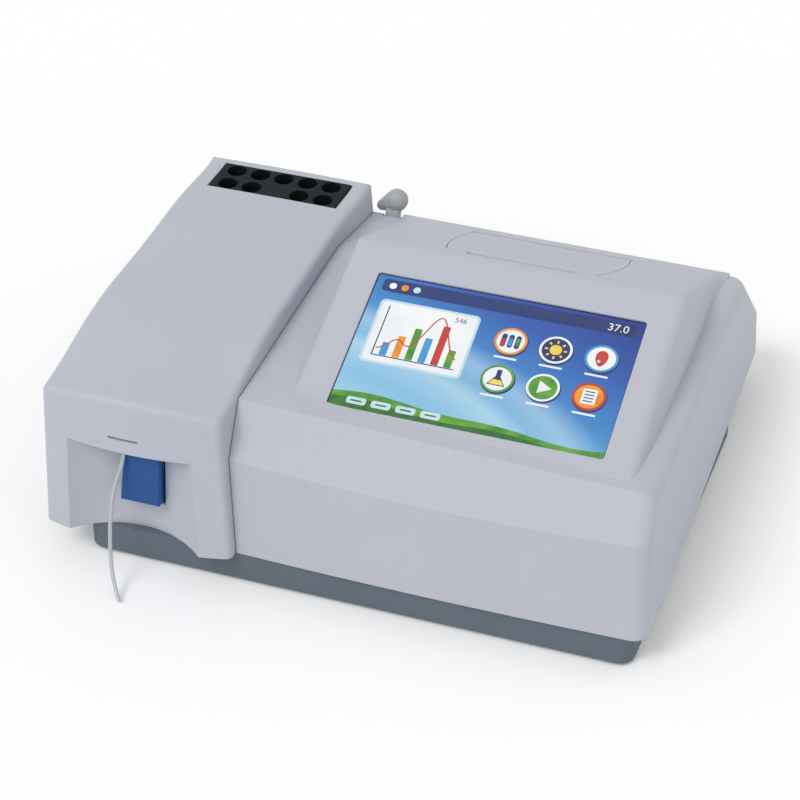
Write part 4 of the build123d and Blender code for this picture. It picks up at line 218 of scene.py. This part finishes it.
paints = {
    "cover": finish_of("cover_plastic", srgb(187, 190, 200), 0.55, grain=0.35, grain_size=0.0007, tint=0.012,
                       edge=0.0007),
    "base": finish_of("base_plastic", srgb(96, 108, 118), 0.62, grain=0.4, tint=0.03, edge=0.0006,
                      sockets={"Specular IOR Level": 0.3}),
    "rubber": finish_of("foot_rubber", srgb(40, 41, 43), 0.8, grain=0.4, tint=0.08),
    "steel": finish_of("zinc_steel", srgb(176, 178, 180), 0.38, metallic=1.0, grain=0.25, stretch=(1, 18, 18),
                       tint=0.06),
    "glass": finish_of("screen_glass", srgb(12, 14, 18), 0.06, tint=0.02, rough_swing=0.02),
    "display": finish_of("display_face", srgb(20, 40, 70), 0.3),
    "block": finish_of("dark_anodised", srgb(20, 27, 30), 0.55, grain=0.2, tint=0.05, edge=0.0003,
                       sockets={"Specular IOR Level": 0.12}),
    "blue": finish_of("button_blue", srgb(28, 81, 147), 0.42, grain=0.15, tint=0.03, edge=0.0004,
                      sockets={"Specular IOR Level": 0.3}),
    "tube": finish_of("tube_plastic", srgb(205, 210, 214), 0.25, tint=0.02,
                      sockets={"Transmission Weight": 0.25, "Subsurface Weight": 0.2,
                               "Subsurface Scale": 0.001}),
    "bush": finish_of("bush_plastic", srgb(120, 126, 130), 0.4, tint=0.03),
    "grey": finish_of("lever_plastic", srgb(166, 168, 170), 0.5, grain=0.2, tint=0.02, edge=0.0005),
    "black": finish_of("black_plastic", srgb(34, 35, 37), 0.5, grain=0.3, tint=0.08),
    "alloy": finish_of("machined_alloy", srgb(200, 202, 205), 0.32, metallic=1.0, grain=0.2,
                       stretch=(12, 1, 1), tint=0.05),
    "filters": finish_of("filter_glass", srgb(110, 70, 150), 0.1, tint=0.3, cloud_size=0.01),
    "motor": finish_of("motor_paint", srgb(95, 98, 102), 0.45, tint=0.05),
    "board": finish_of("board_mask", srgb(30, 88, 50), 0.4, grain=0.3, grain_size=0.001, tint=0.1,
                       cloud_size=0.01),
    "paper": finish_of("paper", srgb(235, 234, 230), 0.85, grain=0.2, tint=0.01),
    "roller": finish_of("roller_rubber", srgb(36, 36, 38), 0.7, grain=0.2, tint=0.05),
}
for part in frame["record"]["subparts"]:
    mesh = nodes[part["node"]].data
    mesh.materials.clear()
    mesh.materials.append(paints[part["material_slot"]])

# ------------------------------------------------------------------ aspiration tube
TUBE_R = 1.15 * MM
TUBE_ROUTE = (  # mm, from the bush in the alcove's ceiling to the bench
    (-121.2, -145.0, 83.0),
    (-121.7, -145.3, 75.2),
    (-126.7, -147.5, 60.9),
    (-128.0, -152.8, 46.3),
    (-127.3, -158.3, 32.5),
    (-125.3, -164.2, 17.0),
    (-121.1, -170.7, 6.3),
    (-116.0, -176.6, 1.6),
)

tube_data = bpy.data.curves.new("aspiration_tube", "CURVE")
tube_data.dimensions = "3D"
spline = tube_data.splines.new("NURBS")
spline.points.add(len(TUBE_ROUTE) - 1)
for point, at in zip(spline.points, TUBE_ROUTE):
    point.co = (at[0] * MM, at[1] * MM, at[2] * MM, 1)
spline.order_u = 3
spline.use_endpoint_u = True
tube_data.resolution_u = 12
tube_data.bevel_depth = TUBE_R
tube_data.bevel_resolution = 6
tube_data.use_fill_caps = True
tube = bpy.data.objects.new("aspiration_tube", tube_data)
scene.collection.objects.link(tube)
tube_data.materials.append(paints["tube"])
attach(tube, "root")
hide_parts("sipper_tube")

# ------------------------------------------------------------------ display picture
TILT = radians(18)  # of the console's deck
DECK_AT = Vector((0.05825, -0.05903, 0.12421))  # middle of the display's window on the deck
DECK_ALONG = Vector((0, cos(TILT), sin(TILT)))
DECK_UP = Vector((0, -sin(TILT), cos(TILT)))
GLASS_FRONT = -1.2  # mm above the deck
PICTURE = (153.4, 92.4)  # mm, width and height
LAYER = 0.02  # mm between the layers of the picture
UNLIT = (0.004, 0.004, 0.005, 1)
GLOSS = 0.12  # roughness of the cover glass
BRIGHTNESS = 0.92


def on_deck(u, v, height):
    """A point on the sloped deck: millimetres from the display's middle, and above the deck."""
    return DECK_AT + Vector((u * MM, 0, 0)) + DECK_ALONG * (v * MM) + DECK_UP * (height * MM)


def glowing(name):
    """A new material that glows under the cover glass's gloss.

    Gives the material, its links, a function that adds a node, and the socket for the colour.
    """
    paint = bpy.data.materials.new(name)
    tree, add = nodes_of(paint)
    shader = add("ShaderNodeBsdfPrincipled", Roughness=GLOSS)
    shader.inputs["Base Color"].default_value = UNLIT
    shader.inputs["Emission Strength"].default_value = BRIGHTNESS
    output = add("ShaderNodeOutputMaterial")
    tree.links.new(shader.outputs[0], output.inputs["Surface"])
    return paint, tree.links, add, shader.inputs["Emission Color"]


def lit_paint(name, low, high, size=0.02):
    """A display colour with faint clouds between two tones."""
    paint, links, add, color = glowing(name)
    place = add("ShaderNodeTexCoord")
    cloud = add("ShaderNodeTexNoise", Scale=1 / size, Detail=1.0)
    ramp = add("ShaderNodeValToRGB")
    set_stops(ramp, ((0.3, low), (0.7, high)))
    links.new(place.outputs["Object"], cloud.inputs["Vector"])
    links.new(cloud.outputs["Fac"], ramp.inputs["Fac"])
    links.new(ramp.outputs["Color"], color)
    return paint


SKY_ACROSS = 0.42  # how much of the sky's colour depth comes from each direction
SKY_UP = 0.62
SKY_STOPS = (
    (0.0, srgb(168, 214, 236)),
    (0.3, srgb(112, 184, 226)),
    (0.52, srgb(62, 138, 206)),
    (0.75, srgb(40, 92, 178)),
    (1.0, srgb(28, 54, 140)),
)
SWEEP_CENTRE = (-0.25, -0.62, 0)  # in picture widths and heights
SWEEP_REACH = 1.6
# distance from the centre and strength
SWEEP_BANDS = ((0.0, 0.0), (0.93, 0.0), (1.12, 0.55), (1.2, 0.2), (1.3, 0.42), (1.42, 0.0))
SWEEP_COLOR = srgb(206, 236, 246)


def sky_paint():
    """The picture's background: a blue sky that pales to the lower left, with a bright sweep of light."""
    paint, links, add, color = glowing("display_sky")
    place = add("ShaderNodeUVMap", uv_map="picture")
    split = add("ShaderNodeSeparateXYZ")
    links.new(place.outputs["UV"], split.inputs[0])
    # deep at the top right, pale at the lower left
    across = add("ShaderNodeMath", operation="MULTIPLY")
    across.inputs[1].default_value = SKY_ACROSS
    links.new(split.outputs["X"], across.inputs[0])
    up = add("ShaderNodeMath", operation="MULTIPLY_ADD")
    up.inputs[1].default_value = SKY_UP
    links.new(split.outputs["Y"], up.inputs[0])
    links.new(across.outputs[0], up.inputs[2])
    sky = add("ShaderNodeValToRGB")
    set_stops(sky, SKY_STOPS)
    links.new(up.outputs[0], sky.inputs["Fac"])
    # a sweep of light: a broad ring about a point outside the picture
    centre = add("ShaderNodeVectorMath", operation="DISTANCE")
    centre.inputs[1].default_value = SWEEP_CENTRE
    links.new(place.outputs["UV"], centre.inputs[0])
    sweep = add("ShaderNodeValToRGB")
    set_stops(sweep, [(distance / SWEEP_REACH, (level, level, level, 1)) for distance, level in SWEEP_BANDS])
    scaled = add("ShaderNodeMath", operation="DIVIDE")
    scaled.inputs[1].default_value = SWEEP_REACH
    links.new(centre.outputs["Value"], scaled.inputs[0])
    links.new(scaled.outputs[0], sweep.inputs["Fac"])
    blend = add("ShaderNodeMix", data_type="RGBA")
    blend.inputs["B"].default_value = SWEEP_COLOR
    links.new(sweep.outputs["Color"], blend.inputs["Factor"])
    links.new(sky.outputs["Color"], blend.inputs["A"])
    links.new(blend.outputs["Result"], color)
    return paint


# the picture's outlines are in millimetres from its middle
def disc(u, v, radius, steps=36):
    turns = [2 * math.pi * k / steps for k in range(steps)]
    return [(u + radius * cos(turn), v + radius * sin(turn)) for turn in turns]


def round_rect(u, v, width, height, radius, steps=6):
    outline = []
    for k, (su, sv) in enumerate(((1, 1), (-1, 1), (-1, -1), (1, -1))):
        for step in range(steps + 1):
            turn = math.pi / 2 * (k + step / steps)
            outline.append((u + su * (width / 2 - radius) + radius * cos(turn),
                            v + sv * (height / 2 - radius) + radius * sin(turn)))
    return outline


def ribbon(points, width):
    """The outline of a line of a width along points."""
    left, right = [], []
    for k, here in enumerate(points):
        before = points[max(0, k - 1)]
        after = points[min(len(points) - 1, k + 1)]
        du, dv = after[0] - before[0], after[1] - before[1]
        size = math.hypot(du, dv)
        nu, nv = -dv / size * width / 2, du / size * width / 2
        left.append((here[0] + nu, here[1] + nv))
        right.append((here[0] - nu, here[1] - nv))
    return left + right[::-1]


picture_shapes = {}  # paint name to a list of (layer, outline)


def draw(paint, layer, outline):
    picture_shapes.setdefault(paint, []).append((layer, outline))


half_w, half_h = PICTURE[0] / 2, PICTURE[1] / 2
STEPS = 40  # pieces of each drawn curve
# meadow along the foot of the picture
crest = []
for k in range(STEPS + 1):
    hills = 3.2 * sin(0.9 + k * 0.11) + 1.2 * sin(k * 0.31)
    crest.append((-half_w + PICTURE[0] * k / STEPS, -half_h + 7.5 + hills))
draw("green", 1, crest + [(half_w, -half_h), (-half_w, -half_h)])
low_crest = [(u, v - 4.2 + 1.2 * sin(u * 0.05)) for u, v in crest]
draw("moss", 2, low_crest + [(half_w, -half_h), (-half_w, -half_h)])
# heading bar with the block's temperature and three marks
draw("navy", 1, round_rect(0, half_h - 6.6, PICTURE[0] - 8, 8.6, 2.5))
for k in range(3):
    draw(("white", "orange", "pale")[k], 2, disc(-half_w + 10 + 7 * k, half_h - 6.6, 2.1, 24))
# chart card on the left
draw("pale", 1, round_rect(-41, 8, 58, 44, 3))
draw("white", 2, round_rect(-41, 8, 55, 41, 2.2))
draw("navy", 3, ribbon([(-64, 26), (-64, -8.5)], 0.7))
draw("navy", 3, ribbon([(-64.35, -8.5), (-17, -8.5)], 0.7))
bars = (("sky", 9), ("orange", 15), ("green", 22), ("sky", 17), ("red", 27), ("green", 12))
for k, (paint, tall) in enumerate(bars):
    draw(paint, 3, round_rect(-58 + 7.4 * k, -8 + tall / 2, 4.2, tall, 0.6))
curve = []
for k in range(STEPS + 1):
    peaks = 28 * math.exp(-((k - 27) / 8) ** 2) + 8 * math.exp(-((k - 9) / 5) ** 2)
    curve.append((-63 + 45 * k / STEPS, -4 + peaks))
draw("red", 4, ribbon(curve, 0.8))
# six round keys on the right, each with a mark of plain shapes
keys = [(8 + 25.5 * column, 17.5 - 26 * row) for row in range(2) for column in range(3)]
rims = ("orange", "white", "sky", "green", "white", "red")
faces = ("white", "navy", "white", "white", "green", "orange")
for (u, v), rim, face in zip(keys, rims, faces):
    draw("navy", 1, disc(u + 0.5, v - 0.8, 9.6))
    draw(rim, 2, disc(u, v, 9.2))
    draw(face, 3, disc(u, v, 7.8))
u, v = keys[0]  # three tubes
for k, paint in enumerate(("red", "sky", "green")):
    draw("navy", 4, round_rect(u - 4 + 4 * k, v, 2.9, 9, 1.4))
    draw(paint, 5, round_rect(u - 4 + 4 * k, v - 1.2 + k * 0.6, 2.0, 5.4, 1.0))
u, v = keys[1]  # a sun
draw("yellow", 4, disc(u, v, 3.4))
for k in range(8):
    turn = 2 * math.pi * k / 8
    ray = [(u + reach * cos(turn), v + reach * sin(turn)) for reach in (4.4, 6.2)]
    draw("yellow", 4, ribbon(ray, 1.1))
u, v = keys[2]  # a drop
drop = []
for k in range(STEPS):
    turn = 2 * math.pi * k / STEPS - math.pi
    drop.append((u + 4 * sin(turn) * (0.5 + 0.5 * cos(turn / 2)), v + 5.4 * cos(turn)))
draw("red", 4, drop)
draw("pale", 5, disc(u - 1.1, v - 2.0, 1.0, 20))
u, v = keys[3]  # a flask of plain shapes
flask = ((-1.4, 6), (1.4, 6), (1.4, 1.5), (5.2, -4.6), (-5.2, -4.6), (-1.4, 1.5))
draw("navy", 4, [(u + du, v + dv) for du, dv in flask])
draw("yellow", 5, [(u - 2.3, v - 0.8), (u + 2.3, v - 0.8), (u + 4.3, v - 4), (u - 4.3, v - 4)])
u, v = keys[4]  # a play mark
draw("white", 4, [(u - 2.6, v + 4.2), (u - 2.6, v - 4.2), (u + 4.8, v)])
u, v = keys[5]  # a sheet with lines
draw("white", 4, round_rect(u, v, 8, 10, 0.8))
for k in range(4):
    draw("navy", 5, round_rect(u, v + 3.2 - 2.1 * k, 5.6, 0.7, 0.3))
# captions are plain bars, and four soft keys stand in the meadow
for u, v in keys:
    draw("white", 2, round_rect(u, v - 11.6, 13, 1.3, 0.6))
for k in range(4):
    draw("pale", 3, round_rect(-62 + 14 * k, -half_h + 5.6, 11, 4.6, 1.4))
    draw("moss", 4, round_rect(-62 + 14 * k, -half_h + 5.6, 6.5, 1.0, 0.5))

picture_paints = {
    "white": lit_paint("display_white", srgb(236, 242, 246), srgb(250, 252, 253)),
    "pale": lit_paint("display_pale", srgb(188, 220, 236), srgb(206, 232, 242)),
    "navy": lit_paint("display_navy", srgb(22, 44, 104), srgb(30, 58, 124)),
    "sky": lit_paint("display_cyan", srgb(52, 140, 208), srgb(78, 166, 222)),
    "green": lit_paint("display_green", srgb(62, 138, 42), srgb(104, 172, 58), 0.008),
    "moss": lit_paint("display_moss", srgb(36, 96, 34), srgb(58, 124, 40), 0.006),
    "red": lit_paint("display_red", srgb(186, 44, 40), srgb(208, 62, 50)),
    "orange": lit_paint("display_orange", srgb(232, 132, 30), srgb(246, 164, 48), 0.006),
    "yellow": lit_paint("display_yellow", srgb(238, 204, 50), srgb(250, 226, 96), 0.006),
}


def picture_piece(name, shapes, paint):
    """One mesh of flat shapes, each a little in front of the one before."""
    mesh = bpy.data.meshes.new(name)
    build = bmesh.new()
    uv = build.loops.layers.uv.new("picture")
    for layer, outline in shapes:
        height = GLASS_FRONT + LAYER * (layer + 1)
        face = build.faces.new([build.verts.new(on_deck(u, v, height)) for u, v in outline])
        face.normal_update()
        if face.normal.dot(DECK_UP) < 0:
            face.normal_flip()
        for loop, (u, v) in zip(face.loops, outline):
            loop[uv].uv = (u / PICTURE[0] + 0.5, v / PICTURE[1] + 0.5)
    bmesh.ops.triangulate(build, faces=build.faces[:])
    build.to_mesh(mesh)
    build.free()
    mesh.materials.append(paint)
    piece = bpy.data.objects.new(name, mesh)
    scene.collection.objects.link(piece)
    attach(piece, "root")
    return piece


picture_piece("screen_sky", [(0, round_rect(0, 0, *PICTURE, 1.6))], sky_paint())
for name, shapes in picture_shapes.items():
    picture_piece("screen_" + name, shapes, picture_paints[name])


def picture_number(name, text, u, v, size, paint):
    """A plain number as flat glyphs in front of the picture."""
    glyphs = bpy.data.curves.new(name + "_glyphs", "FONT")
    glyphs.body = text
    glyphs.size = size * MM
    glyphs.align_x = "RIGHT"
    glyphs.align_y = "CENTER"
    glyphs.resolution_u = 4
    source = bpy.data.objects.new(name + "_source", glyphs)
    scene.collection.objects.link(source)
    bpy.context.view_layer.update()
    mesh = bpy.data.meshes.new_from_object(source)
    bpy.data.objects.remove(source)
    bpy.data.curves.remove(glyphs)
    place = Matrix((Vector((1, 0, 0)), DECK_ALONG, DECK_UP)).transposed().to_4x4()
    place.translation = on_deck(u, v, GLASS_FRONT + LAYER * 6)
    mesh.transform(place)
    mesh.materials.clear()
    mesh.materials.append(paint)
    piece = bpy.data.objects.new(name, mesh)
    scene.collection.objects.link(piece)
    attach(piece, "root")


picture_number("screen_reading", "37.0", half_w - 8, half_h - 6.8, 7.0, picture_paints["white"])
picture_number("screen_chart_number", "546", -19, 24.5, 4.6, picture_paints["navy"])
